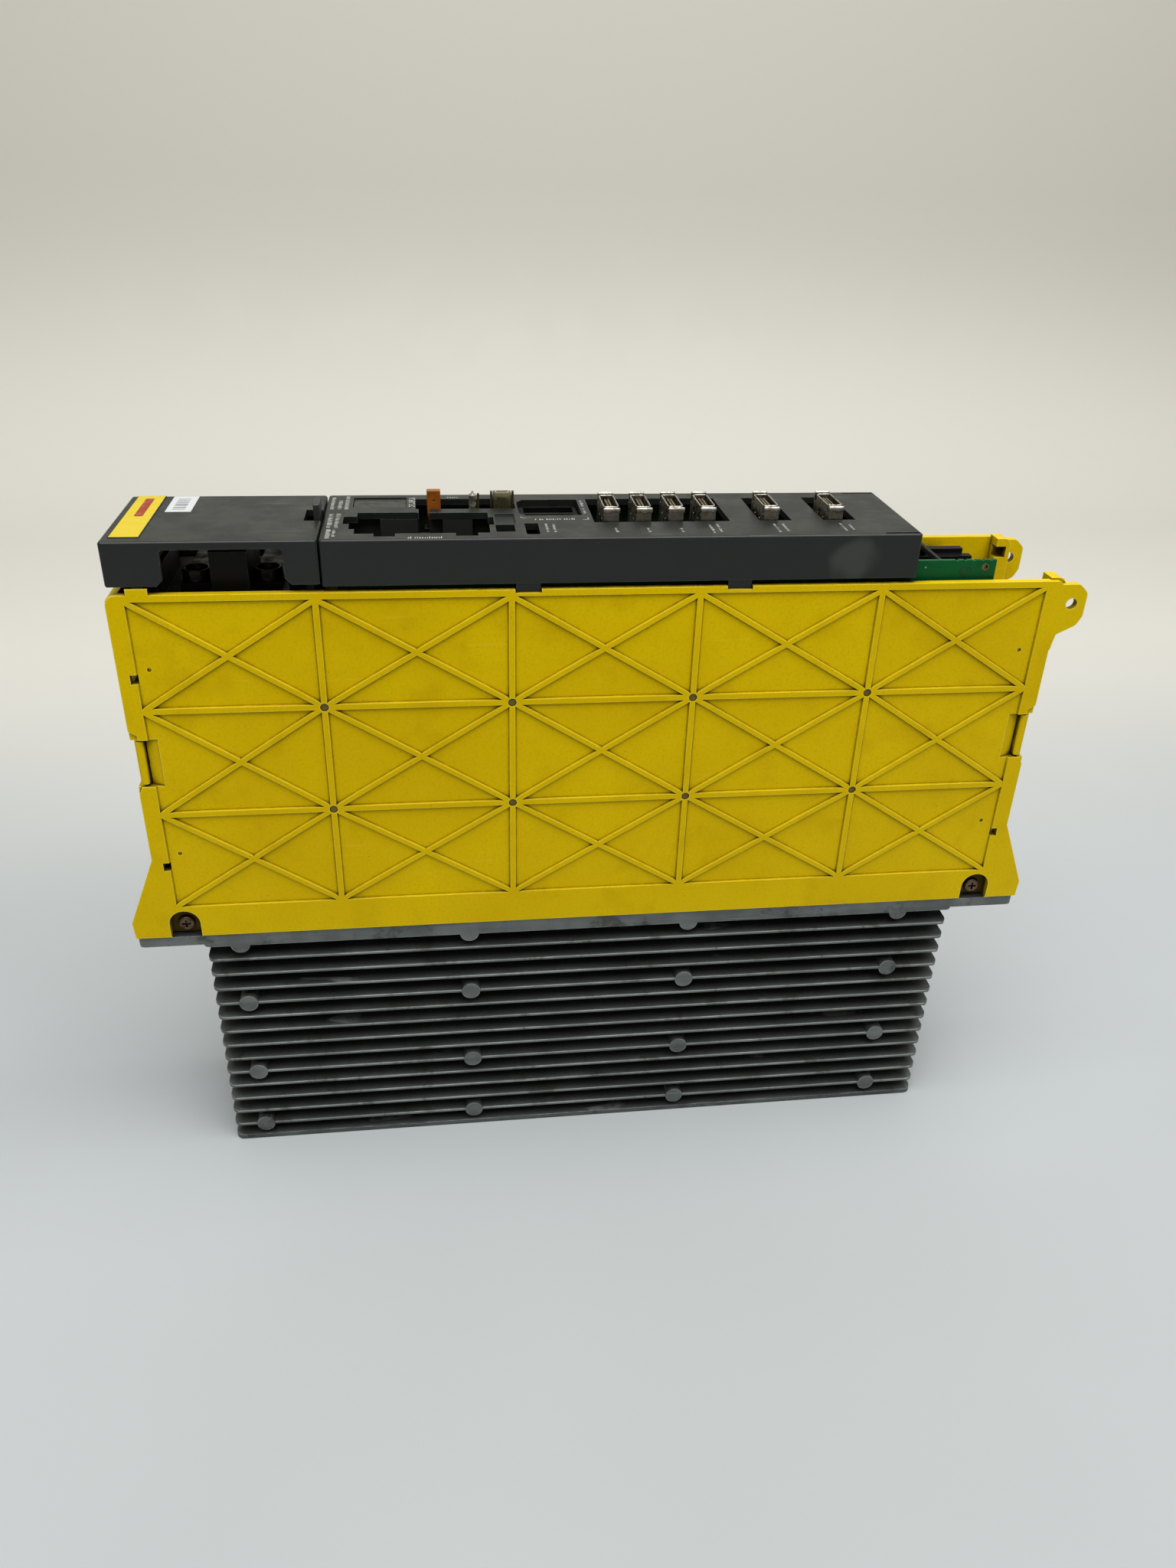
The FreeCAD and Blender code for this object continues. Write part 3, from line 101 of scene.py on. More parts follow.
# ---------------------------------------------------------------- finishes
class Finish:
    """One procedural material, put together from small steps."""

    def __init__(self, name, **shader):
        self.material = bpy.data.materials.new(name)
        self.material.use_nodes = True
        self.nodes = self.material.node_tree.nodes
        self.links = self.material.node_tree.links
        self.shader = self.nodes["Principled BSDF"]
        for socket, value in shader.items():
            self.shader.inputs[socket.replace("_", " ")].default_value = value
        self.place = self.nodes.new("ShaderNodeTexCoord").outputs["Object"]
        self.normal = None

    def put(self, source, socket):
        if isinstance(source, bpy.types.NodeSocket):
            self.links.new(source, socket)
        else:
            socket.default_value = source

    def stretched(self, x, y, z):
        """The place with each axis scaled, so that a pattern runs along one of them."""
        node = self.nodes.new("ShaderNodeMapping")
        self.put(self.place, node.inputs["Vector"])
        node.inputs["Scale"].default_value = (x, y, z)
        return node.outputs["Vector"]

    def noise(self, scale, detail=3.0, rough=0.55, where=None):
        node = self.nodes.new("ShaderNodeTexNoise")
        self.put(where or self.place, node.inputs["Vector"])
        node.inputs["Scale"].default_value = scale
        node.inputs["Detail"].default_value = detail
        node.inputs["Roughness"].default_value = rough
        return node.outputs["Fac"]

    def specks(self, scale, size, share):
        """Small round spots in a share of the cells of a scattered grid."""
        node = self.nodes.new("ShaderNodeTexVoronoi")
        self.put(self.place, node.inputs["Vector"])
        node.inputs["Scale"].default_value = scale
        parts = self.nodes.new("ShaderNodeSeparateColor")
        self.put(node.outputs["Color"], parts.inputs["Color"])
        spot = self.span(node.outputs["Distance"], size, size * 0.4)
        chosen = self.span(parts.outputs["Red"], 1.0 - share, 1.0 - share + 0.01)
        return self.times(spot, chosen)

    def span(self, value, low, high, out_low=0.0, out_high=1.0):
        """The value mapped smoothly from low..high to out_low..out_high."""
        node = self.nodes.new("ShaderNodeMapRange")
        node.interpolation_type = "SMOOTHSTEP"
        self.put(value, node.inputs["Value"])
        node.inputs["From Min"].default_value = low
        node.inputs["From Max"].default_value = high
        node.inputs["To Min"].default_value = out_low
        node.inputs["To Max"].default_value = out_high
        return node.outputs["Result"]

    def sum(self, operation, a, b):
        node = self.nodes.new("ShaderNodeMath")
        node.operation = operation
        node.use_clamp = True
        self.put(a, node.inputs[0])
        self.put(b, node.inputs[1])
        return node.outputs["Value"]

    def times(self, a, b):
        return self.sum("MULTIPLY", a, b)

    def plus(self, a, b):
        return self.sum("ADD", a, b)

    def mix(self, amount, a, b):
        """Colour a where amount is 0, b where it is 1."""
        node = self.nodes.new("ShaderNodeMix")
        node.data_type = "RGBA"
        self.put(amount, node.inputs["Factor"])
        self.put(a, node.inputs[6])
        self.put(b, node.inputs[7])
        return node.outputs[2]

    def crevices(self, reach, samples=4):
        """1 deep in a corner or gap, 0 in the open; reach in millimetres."""
        node = self.nodes.new("ShaderNodeAmbientOcclusion")
        node.samples = samples
        node.inputs["Distance"].default_value = reach * MM
        return self.sum("SUBTRACT", 1.0, node.outputs["AO"])

    def edges(self, reach, samples=4):
        """1 on an outer edge, 0 on a flat face; reach in millimetres."""
        node = self.nodes.new("ShaderNodeAmbientOcclusion")
        node.samples = samples
        node.inside = True
        node.only_local = True
        node.inputs["Distance"].default_value = reach * MM
        return self.sum("SUBTRACT", 1.0, node.outputs["AO"])

    def axis(self, name):
        """One coordinate of the place, in metres."""
        node = self.nodes.new("ShaderNodeSeparateXYZ")
        self.put(self.place, node.inputs["Vector"])
        return node.outputs[name]

    def within(self, name, half, fade=0.0006):
        """1 where the coordinate lies between -half and half, 0 beyond it."""
        above = self.span(self.axis(name), -half - fade, -half)
        return self.times(above, self.span(self.axis(name), half + fade, half))

    def rounded(self, radius, samples=4):
        """Soft edges in the shading, radius in millimetres."""
        node = self.nodes.new("ShaderNodeBevel")
        node.samples = samples
        node.inputs["Radius"].default_value = radius * MM
        self.normal = node.outputs["Normal"]

    def bump(self, height, depth, strength=1.0):
        """Raises the surface by height times depth, depth in millimetres."""
        node = self.nodes.new("ShaderNodeBump")
        node.inputs["Strength"].default_value = strength
        node.inputs["Distance"].default_value = depth * MM
        self.put(height, node.inputs["Height"])
        if self.normal:
            self.put(self.normal, node.inputs["Normal"])
        self.normal = node.outputs["Normal"]

    def done(self, colour=None, roughness=None, metallic=None):
        if colour is not None:
            self.put(colour, self.shader.inputs["Base Color"])
        if roughness is not None:
            self.put(roughness, self.shader.inputs["Roughness"])
        if metallic is not None:
            self.put(metallic, self.shader.inputs["Metallic"])
        if self.normal:
            self.put(self.normal, self.shader.inputs["Normal"])
        return self.material


def yellow_case():
    """Satin yellow moulding: worn edges with a painted highlight; brown soiling and painted shade
    in corners, in the sunk screw recesses and inside.
    """
    made = Finish("yellow_case", Specular_IOR_Level=0.22, Specular_Tint=screen(255, 226, 110))
    made.rounded(0.22)
    base = made.mix(made.span(made.noise(16.0, 4.0), 0.35, 0.7),
                    screen(214, 182, 0), screen(206, 173, 0))
    patches = made.span(made.noise(55.0, 5.0), 0.52, 0.74, 0.0, 0.4)
    base = made.mix(patches, base, screen(186, 152, 0))
    grains = made.span(made.noise(900.0, 3.0, 0.7), 0.45, 0.7, 0.0, 0.3)
    base = made.mix(grains, base, screen(176, 146, 0))
    # Pale edges: partly wear, partly a painted highlight where light catches the rib edges.
    edge = made.span(made.edges(0.36), 0.16, 0.42)
    edge = made.times(edge, made.span(made.noise(130.0, 3.0), 0.22, 0.46))
    base = made.mix(made.times(edge, 0.9), base, screen(255, 240, 96))
    dust = made.noise(210.0, 4.0)
    # Thin dark lines in corners and at the feet of ribs: soiling and painted shade.
    corner = made.span(made.crevices(0.6), 0.12, 0.38)
    corner = made.times(corner, made.span(dust, 0.28, 0.58, 0.55, 1.0))
    base = made.mix(made.times(corner, 0.92), base, screen(58, 44, 4))
    # Painted shade, with soiling, in deep hollows such as the case-screw recesses.
    sunken = made.span(made.crevices(7.5), 0.26, 0.5)
    sunken = made.times(sunken, made.span(dust, 0.3, 0.6, 0.65, 1.0))
    base = made.mix(made.times(sunken, 0.92), base, screen(44, 33, 12))
    # The sunk floors round the case screws are painted dark as shade.
    recess = made.times(made.within("X", RECESS_X), made.within("Y", RECESS_Y))
    recess = made.times(recess, made.span(made.axis("Z"), RECESS_TOP + 0.001, RECESS_TOP))
    base = made.mix(made.times(recess, 0.9), base, screen(40, 31, 14))
    # Painted shade, with brown soiling, over the inside of the shells.
    inner = made.span(made.crevices(26.0), 0.34, 0.8)
    inner = made.times(inner, made.span(made.noise(70.0, 5.0), 0.3, 0.7, 0.35, 1.0))
    base = made.mix(made.times(inner, 0.85), base, screen(66, 50, 14))
    spots = made.plus(made.specks(310.0, 0.11, 0.1), made.specks(80.0, 0.05, 0.08))
    base = made.mix(made.times(spots, 0.5), base, screen(110, 84, 10))
    scuffs = made.noise(34.0, 2.0, 0.4, made.stretched(1.0, 1.0, 16.0))
    scuffs = made.span(scuffs, 0.68, 0.74)
    base = made.mix(made.times(scuffs, 0.1), base, screen(232, 206, 70))
    rough = made.span(made.noise(120.0, 4.0), 0.3, 0.7, 0.36, 0.5)
    rough = made.plus(rough, made.times(corner, 0.3))
    made.bump(made.noise(1500.0, 2.0), 0.02, 0.6)
    made.bump(made.noise(45.0, 2.0), 0.08, 0.25)
    return made.done(base, rough)


def moulded(name, base, worn, grime_and_shade, rough=0.46, grain=1300.0, depth=0.03, radius=0.3,
            wear=0.5, dirt_and_shade=0.6, reach=2.0, **shader):
    """Textured moulding plastic with paler edges, dust and painted shade in the corners, and fine
    scratches.
    """
    made = Finish(name, **shader)
    made.rounded(radius)
    colour = made.mix(made.span(made.noise(22.0, 4.0), 0.35, 0.68), base,
                      dimmed(base, 0.86))
    edge = made.times(made.span(made.edges(0.55), 0.2, 0.5),
                      made.span(made.noise(160.0, 3.0), 0.3, 0.56))
    colour = made.mix(made.times(edge, wear), colour, worn)
    # Dust and painted shade in corners; a long reach paints shade over whole hollows.
    corner = made.times(made.span(made.crevices(reach), 0.15, 0.6),
                        made.span(made.noise(240.0, 4.0), 0.35, 0.65, 0.2, 1.0))
    colour = made.mix(made.times(corner, dirt_and_shade), colour, grime_and_shade)
    scratch = made.noise(26.0, 2.0, 0.4, made.stretched(1.0, 18.0, 1.0))
    scratch = made.times(made.span(scratch, 0.68, 0.73), 0.22)
    colour = made.mix(made.plus(scratch, made.times(made.specks(260.0, 0.12, 0.1), 0.4)),
                      colour, worn)
    rougher = made.span(made.noise(90.0, 4.0), 0.3, 0.7, rough - 0.05, rough + 0.07)
    made.bump(made.noise(grain, 2.0, 0.6), depth, 0.7)
    return made.done(colour, rougher)


def cast_metal():
    """Die-cast aluminium: dull grey skin, scuffed tips, painted shade in the gaps between fins.
    """
    made = Finish("cast_metal", Metallic=0.6)
    made.rounded(0.3)
    cloud = made.span(made.noise(38.0, 5.0, 0.6), 0.3, 0.7)
    base = made.mix(cloud, screen(116, 121, 119), screen(92, 97, 95))
    drag = made.noise(60.0, 4.0, 0.6, made.stretched(0.25, 3.0, 4.0))
    base = made.mix(made.span(drag, 0.42, 0.7, 0.0, 0.6), base, screen(78, 80, 79))
    # Painted shade between the fins.
    gap = made.span(made.crevices(16.0), 0.3, 0.78)
    base = made.mix(made.times(gap, 0.86), base, screen(25, 28, 26))
    edge = made.times(made.span(made.edges(0.8), 0.2, 0.55),
                      made.span(made.noise(110.0, 4.0), 0.38, 0.6))
    base = made.mix(made.times(edge, 0.6), base, screen(182, 186, 184))
    stain = made.span(made.noise(60.0, 5.0, 0.7), 0.54, 0.66, 0.0, 0.7)
    base = made.mix(stain, base, screen(58, 57, 54))
    base = made.mix(made.times(made.specks(180.0, 0.14, 0.2), 0.6), base, screen(52, 50, 47))
    scratch = made.noise(70.0, 2.0, 0.4, made.stretched(0.3, 1.0, 9.0))
    scratch = made.times(made.span(scratch, 0.66, 0.7), made.span(cloud, 0.3, 0.8))
    base = made.mix(made.times(scratch, 0.4), base, screen(170, 173, 172))
    rough = made.span(made.noise(150.0, 4.0), 0.3, 0.7, 0.36, 0.56)
    rough = made.plus(rough, made.times(gap, 0.25))
    made.bump(made.noise(420.0, 4.0, 0.65), 0.09, 0.7)
    made.bump(made.noise(40.0, 3.0), 0.25, 0.3)
    return made.done(base, rough)


def bare_metal(name, base, tarnish, rough=0.3, amount=0.5, scale=140.0, radius=0.25,
               dirt_and_shade=0.7, reach=1.6):
    """Plated or bare metal with tarnish in patches, and soiling with painted shade in the
    corners.
    """
    made = Finish(name, Metallic=1.0)
    made.rounded(radius)
    patch = made.span(made.noise(scale, 5.0, 0.6), 0.42, 0.68, 0.0, amount)
    colour = made.mix(patch, base, tarnish)
    # Soiling and painted shade in corners; a long reach paints shade over deep places.
    corner = made.span(made.crevices(reach), 0.15, 0.65)
    colour = made.mix(made.times(corner, dirt_and_shade), colour,
                      dimmed(tarnish, 0.25))
    rougher = made.plus(made.span(made.noise(scale * 2.0, 4.0), 0.3, 0.7, rough - 0.08,
                                  rough + 0.12), made.times(patch, 0.25))
    made.bump(made.noise(scale * 6.0, 3.0), 0.03, 0.6)
    return made.done(colour, rougher)


def clear_plastic(name, tint, dusty, see_through=0.8, rough=0.16, gloss=0.5):
    """Clear moulding that has yellowed, with dust that makes it cloudy in patches."""
    made = Finish(name, IOR=1.49, Transmission_Weight=see_through, Specular_IOR_Level=gloss)
    made.rounded(0.25)
    cloud = made.span(made.noise(300.0, 4.0), 0.42, 0.7)
    colour = made.mix(made.times(cloud, 0.5), tint, dusty)
    # Painted shade: the tint darkens in corners and gaps.
    colour = made.mix(made.times(made.span(made.crevices(1.2), 0.2, 0.7), 0.6), colour,
                      dimmed(tint, 0.4))
    rougher = made.span(cloud, 0.0, 1.0, rough, rough + 0.25)
    made.bump(made.noise(700.0, 2.0), 0.02, 0.4)
    return made.done(colour, rougher)


def printed(name, ink, backing, worn=0.35, rough=0.5):
    """Ink or label stock with rubbed patches that show what is under it."""
    made = Finish(name)
    rubbed = made.span(made.noise(420.0, 4.0, 0.65), 0.5, 0.72, 0.0, worn)
    soiled = made.span(made.noise(60.0, 4.0), 0.5, 0.75, 0.0, 0.25)
    colour = made.mix(rubbed, ink, backing)
    colour = made.mix(soiled, colour, dimmed(ink, 0.6))
    rougher = made.span(made.noise(200.0, 3.0), 0.3, 0.7, rough - 0.08, rough + 0.1)
    made.bump(made.noise(1100.0, 2.0), 0.01, 0.5)
    return made.done(colour, rougher)


def circuit_board():
    """Green solder mask over fine tracks, with pale pads, dust and painted shade in corners, and
    painted shade in deep places.
    """
    made = Finish("circuit_board", Specular_IOR_Level=0.16)
    made.rounded(0.15)
    tracks = made.nodes.new("ShaderNodeTexVoronoi")
    tracks.distance = "MANHATTAN"
    tracks.feature = "F2"
    made.put(made.place, tracks.inputs["Vector"])
    tracks.inputs["Scale"].default_value = 170.0
    line = made.span(tracks.outputs["Distance"], 0.62, 0.7)
    base = made.mix(made.span(made.noise(40.0, 3.0), 0.35, 0.7),
                    screen(0, 78, 36), screen(0, 64, 30))
    base = made.mix(made.times(line, 0.3), base, screen(6, 88, 46))
    base = made.mix(made.times(made.specks(420.0, 0.2, 0.14), 0.8), base,
                    screen(176, 170, 150))
    # Dust and painted shade in the board's corners.
    dust = made.times(made.span(made.crevices(3.0), 0.2, 0.8),
                      made.span(made.noise(160.0, 4.0), 0.35, 0.65))
    base = made.mix(made.times(dust, 0.5), base, screen(38, 40, 26))
    # Painted shade in deep places, such as the gap behind the shell.
    deep = made.span(made.crevices(14.0), 0.55, 0.85)
    base = made.mix(made.times(deep, 0.9), base, screen(7, 12, 8))
    rough = made.span(made.noise(200.0, 3.0), 0.3, 0.7, 0.28, 0.42)
    made.bump(line, 0.035, 0.8)
    return made.done(base, rough)


def capacitor_sleeve():
    """Shrunk sleeve over an aluminium can, whose top is bare metal."""
    made = Finish("capacitor_sleeve")
    made.rounded(0.4)
    top = made.span(made.axis("Z"), SLEEVE_TOP, SLEEVE_TOP + 0.0004)
    sleeve = made.mix(made.span(made.noise(30.0, 3.0), 0.4, 0.7),
                      screen(26, 34, 48), screen(20, 26, 36))
    metal = made.mix(made.span(made.noise(120.0, 4.0), 0.4, 0.7),
                     screen(190, 192, 194), screen(150, 152, 154))
    rough = made.span(made.noise(160.0, 3.0), 0.3, 0.7, 0.26, 0.4)
    made.bump(made.noise(60.0, 2.0, 0.5, made.stretched(1.0, 1.0, 0.15)), 0.12, 0.3)
    return made.done(made.mix(top, sleeve, metal), rough, made.times(top, 0.9))


def setting_plug_finish():
    """Brown moulding, clean above the cover, and below its face painted near black as soiling and
    shade.
    """
    made = Finish("setting_plug_brown", Specular_IOR_Level=0.35)
    made.rounded(0.25)
    colour = made.mix(made.span(made.noise(120.0, 4.0), 0.35, 0.65),
                      screen(142, 78, 12), screen(124, 66, 10))
    edge = made.times(made.span(made.edges(0.5), 0.2, 0.5), 0.35)
    colour = made.mix(edge, colour, screen(186, 118, 40))
    # Below this height painted near black: the shade in the socket, with soiling.
    below = made.span(made.axis("Z"), PLUG_GRIME_AND_SHADE_TOP, PLUG_GRIME_AND_SHADE_TOP - 0.004)
    colour = made.mix(made.times(below, 0.96), colour, screen(16, 11, 6))
    made.bump(made.noise(900.0, 3.0), 0.03, 0.6)
    return made.done(colour, made.span(made.noise(200.0, 3.0), 0.3, 0.7, 0.3, 0.44))


def check_pin_finish():
    """Tinned check pins: the square post pale and spotted, the thin pin browned."""
    made = Finish("check_pin_metal", Metallic=0.8)
    made.rounded(0.2)
    colour = made.mix(made.span(made.noise(420.0, 4.0), 0.4, 0.62),
                      screen(176, 174, 162), screen(104, 96, 74))
    thin = made.span(made.axis("X"), THIN_PIN_X, THIN_PIN_X + 0.0002)
    colour = made.mix(thin, colour, screen(92, 76, 54))
    made.bump(made.noise(800.0, 3.0), 0.05, 0.8)
    return made.done(colour, made.span(made.noise(300.0, 3.0), 0.3, 0.7, 0.32, 0.5))


def backdrop_finish():
    """Matt studio sheet: cool near the drive, warmer far behind it and up the wall, with painted
    light making it lighter far behind.
    """
    made = Finish("backdrop_finish", Specular_IOR_Level=0.3)
    base = made.mix(made.span(made.noise(2.2, 3.0), 0.35, 0.7),
                    screen(176, 181, 183), screen(170, 175, 177))
    # Painted light: lighter and warmer far behind the drive, where the lamps reach less.
    far = made.span(made.axis("Y"), 0.1, 0.6)
    base = made.mix(far, base, screen(210, 208, 200))
    wall = made.span(made.axis("Z"), 0.02, 0.3)
    base = made.mix(wall, base, screen(192, 190, 182))
    rough = made.span(made.noise(14.0, 3.0), 0.3, 0.7, 0.55, 0.66)
    made.bump(made.noise(120.0, 2.0), 0.05, 0.15)
    return made.done(base, rough)


YELLOW = yellow_case()
COVER_GREY = moulded("cover_grey", screen(19, 23, 20), screen(96, 100, 95),
                     screen(12, 12, 10), rough=0.42, depth=0.045, wear=0.45, dirt_and_shade=0.5,
                     Specular_IOR_Level=0.44)
LATCH_GREY = moulded("latch_grey", screen(34, 37, 35), screen(110, 112, 108),
                     screen(18, 17, 15), rough=0.38, wear=0.5)
DARK_PLASTIC = moulded("dark_plastic", screen(28, 28, 26), screen(64, 64, 60),
                       screen(6, 6, 5), rough=0.6, grain=900.0, depth=0.06, wear=0.3,
                       dirt_and_shade=0.9, reach=9.0, Specular_IOR_Level=0.3)
BLACK_PLASTIC = moulded("black_plastic", screen(9, 9, 9), screen(86, 88, 86),
                        screen(3, 3, 3), rough=0.5, wear=0.35, dirt_and_shade=0.95, reach=12.0,
                        Specular_IOR_Level=0.16)
PLUG_BROWN = setting_plug_finish()
CHECK_PIN = check_pin_finish()
CAST = cast_metal()
NICKEL = bare_metal("nickel", screen(166, 160, 146), screen(94, 80, 54), rough=0.3,
                    amount=0.85, scale=260.0)
RIM_METAL = bare_metal("worn_rim", screen(216, 212, 202), screen(120, 108, 84), rough=0.28,
                       amount=0.8, scale=320.0)
DULL_STEEL = bare_metal("dull_steel", screen(92, 89, 84), screen(40, 37, 33), rough=0.4,
                        amount=0.8, reach=9.0)
TARNISHED = bare_metal("tarnished_bar", screen(58, 54, 49), screen(30, 26, 23), rough=0.55,
                       amount=0.8, reach=12.0)
STEEL = bare_metal("zinc_steel", screen(176, 174, 168), screen(110, 99, 78), rough=0.32)
BRONZED = bare_metal("bronzed_steel", screen(112, 92, 76), screen(64, 45, 31),
                     rough=0.42, amount=0.85)
TIN = bare_metal("tinned_pin", screen(150, 149, 138), screen(84, 76, 58), rough=0.34,
                 amount=0.9, scale=420.0)
GOLD = bare_metal("gilt_contact", screen(170, 156, 122), screen(112, 92, 56), rough=0.3,
                  scale=400.0)
COPPER = bare_metal("copper", screen(196, 118, 76), screen(112, 62, 40), rough=0.3,
                    scale=90.0)
OLD_COPPER = bare_metal("old_copper", screen(136, 112, 74), screen(84, 74, 48), rough=0.4,
                        scale=300.0)
AMBER = clear_plastic("amber_clear", screen(150, 142, 100), screen(104, 96, 62),
                      see_through=0.9)
WINDOW = clear_plastic("window_clear", screen(50, 52, 46), screen(66, 67, 60),
                       see_through=0.45, rough=0.3, gloss=0.15)
LAMP_RED = clear_plastic("lamp_red", screen(190, 24, 14), screen(120, 20, 14), rough=0.1)
DISPLAY = moulded("display_face", screen(42, 43, 39), screen(80, 80, 74),
                  screen(20, 19, 17), rough=0.3, wear=0.15)
LABEL = printed("yellow_label", screen(196, 174, 16), screen(176, 150, 22), worn=0.15)
LABEL_RED = printed("label_red", screen(138, 34, 12), screen(186, 150, 20), worn=0.4)
STICKER = printed("white_sticker", screen(190, 193, 193), screen(164, 165, 160), worn=0.2)
STICKER_INK = printed("sticker_ink", screen(84, 86, 92), screen(160, 160, 156))
PALE_INK = printed("pale_ink", screen(158, 160, 152), screen(52, 55, 53), worn=0.8)
GRIME = printed("dimple_grime", screen(104, 88, 6), screen(150, 128, 16), worn=0.6)
STAMP = printed("board_stamp", screen(6, 26, 14), screen(4, 60, 30), worn=0.6)
BOARD = circuit_board()
SLEEVE = capacitor_sleeve()
SLEEVE_STRIPE = printed("sleeve_stripe", screen(168, 172, 170), screen(60, 66, 76))
FERRITE = moulded("ferrite", screen(44, 42, 42), screen(88, 84, 80), screen(24, 22, 20),
                  rough=0.6, grain=500.0, depth=0.08)
PALE_CORE = printed("pale_frame", screen(206, 200, 180), screen(150, 140, 112))
AMBER_EDGE = printed("amber_edge", screen(164, 156, 116), screen(110, 100, 66), worn=0.6)
DARK_CORE = printed("dark_former", screen(34, 31, 24), screen(84, 80, 58), worn=0.5)

FINISH_OF = {
    "heat_sink": CAST,
    "side_shell_near": YELLOW,
    "side_shell_far": YELLOW,
    "case_screws": BRONZED,
    "front_cover": COVER_GREY,
    "terminal_cover": COVER_GREY,
    "cover_latch": LATCH_GREY,
    "hinge_pin": STEEL,
    "name_label": LABEL,
    "rating_sticker": STICKER,
    "battery_bay": DARK_PLASTIC,
    "connector_board": BOARD,
    "supply_connector": BLACK_PLASTIC,
    "supply_pins": TIN,
    "setting_plug": PLUG_BROWN,
    "setting_socket": BLACK_PLASTIC,
    "check_pins": CHECK_PIN,
    "control_fuse": AMBER,
    "fuse_blades": BRONZED,
    "fuse_holder": BLACK_PLASTIC,
    "status_display": DISPLAY,
    "status_window": WINDOW,
    "charge_lamp": LAMP_RED,
    "control_board": BOARD,
    "control_chips": BLACK_PLASTIC,
    "board_link": BLACK_PLASTIC,
    "board_clip": DARK_PLASTIC,
    "board_standoffs": STEEL,
    "board_screws": STEEL,
    "power_modules": BLACK_PLASTIC,
    "module_screws": STEEL,
    "module_pins": TIN,
    "power_board": BOARD,
    "link_capacitor_1": SLEEVE,
    "link_capacitor_2": SLEEVE,
    "relays": BLACK_PLASTIC,
    "gate_transformer": FERRITE,
    "current_sensors": BLACK_PLASTIC,
    "thermal_switch": STEEL,
    "dc_terminal_block": BLACK_PLASTIC,
    "dc_terminal_screws": DULL_STEEL,
    "dc_bus_bars": TARNISHED,
    "motor_terminal_block": BLACK_PLASTIC,
    "motor_terminal_screws": STEEL,
    "motor_leads": COPPER,
    "fan_frame": BLACK_PLASTIC,
    "fan_rotor": BLACK_PLASTIC,
    "fan_screws": BRONZED,
}
for name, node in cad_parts.items():
    finish = FINISH_OF.get(name)
    if name.startswith("signal_connector"):
        finish = NICKEL if name.endswith("shell") else BLACK_PLASTIC
    for entry in node.material_slots:
        entry.link = "OBJECT"
        entry.material = finish


# ---------------------------------------------------------------- small mesh helpers
def piece(name, build, body, finish):
    """A new piece: build(shape) fills a bmesh in millimetres."""
    shape = bmesh.new()
    build(shape)
    bmesh.ops.scale(shape, vec=(MM, MM, MM), verts=shape.verts)
    bmesh.ops.recalc_face_normals(shape, faces=shape.faces)
    data = bpy.data.meshes.new(name)
    shape.to_mesh(data)
    shape.free()
    data.materials.append(finish)
    made = bpy.data.objects.new(name, data)
    bpy.context.scene.collection.objects.link(made)
    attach(made, body)
    return made


def rounded_outline(x, y, radius, steps=4):
    """Corner points of a rounded rectangle, anticlockwise from above."""
    centres = [(x[1] - radius, y[1] - radius), (x[0] + radius, y[1] - radius),
               (x[0] + radius, y[0] + radius), (x[1] - radius, y[0] + radius)]
    points = []
    for quarter, (cx, cy) in enumerate(centres):
        for step in range(steps + 1):
            angle = math.pi / 2 * (quarter + step / steps)
            points.append((cx + radius * math.cos(angle), cy + radius * math.sin(angle)))
    return points


def add_prism(shape, points, low, high):
    """A solid from an outline in XY, from z = low to z = high."""
    below = [shape.verts.new((x, y, low)) for x, y in points]
    above = [shape.verts.new((x, y, high)) for x, y in points]
    count = len(points)
    shape.faces.new(below)
    shape.faces.new(above)
    for k in range(count):
        n = (k + 1) % count
        shape.faces.new((below[k], below[n], above[n], above[k]))


def add_bar(shape, x, y, low, high, radius=0.2):
    add_prism(shape, rounded_outline(x, y, radius, 2), low, high)


def add_sweep(shape, path, section):
    """A closed ring: section(k) gives (outward, up) points at each point of the path."""
    count = len(path)
    loops = []
    for k, (x, y) in enumerate(path):
        ax, ay = path[k - 1]
        bx, by = path[(k + 1) % count]
        length = math.hypot(bx - ax, by - ay)
        nx, ny = (by - ay) / length, -(bx - ax) / length
        loops.append([shape.verts.new((x + nx * out, y + ny * out, up))
                      for out, up in section(k)])
    size = len(loops[0])
    for k in range(count):
        here, there = loops[k], loops[(k + 1) % count]
        for n in range(size):
            m = (n + 1) % size
            shape.faces.new((here[n], there[n], there[m], here[m]))


# ---------------------------------------------------------------- signal connectors
def worn_edge(shape, path, top, lip, wave, rng):
    """A bright folded edge along a closed path: lip(x, y) is 0 for thin, 1 for a full lip."""
    dense = []
    for k, (px, py) in enumerate(path):
        qx, qy = path[(k + 1) % len(path)]
        parts = max(1, int(math.hypot(qx - px, qy - py) / 1.0))
        for part in range(parts):
            share = part / parts
            dense.append((px + (qx - px) * share, py + (qy - py) * share))

    def section(k):
        full = lip(*dense[k])
        shake = rng.uniform(-wave, wave)
        out = 0.05 + 0.2 * full + shake * full
        drop = 0.25 + 1.2 * full + shake
        lift = 0.06 + 0.1 * full + abs(shake)
        return [(-0.3, top - 0.3), (-0.28, top + lift * 0.6), (-0.1, top + lift),
                (out * 0.8, top + lift * 0.4), (out, top - drop * 0.4),
                (out * 0.9, top - drop), (-0.05, top - drop - 0.2)]

    add_sweep(shape, dense, section)


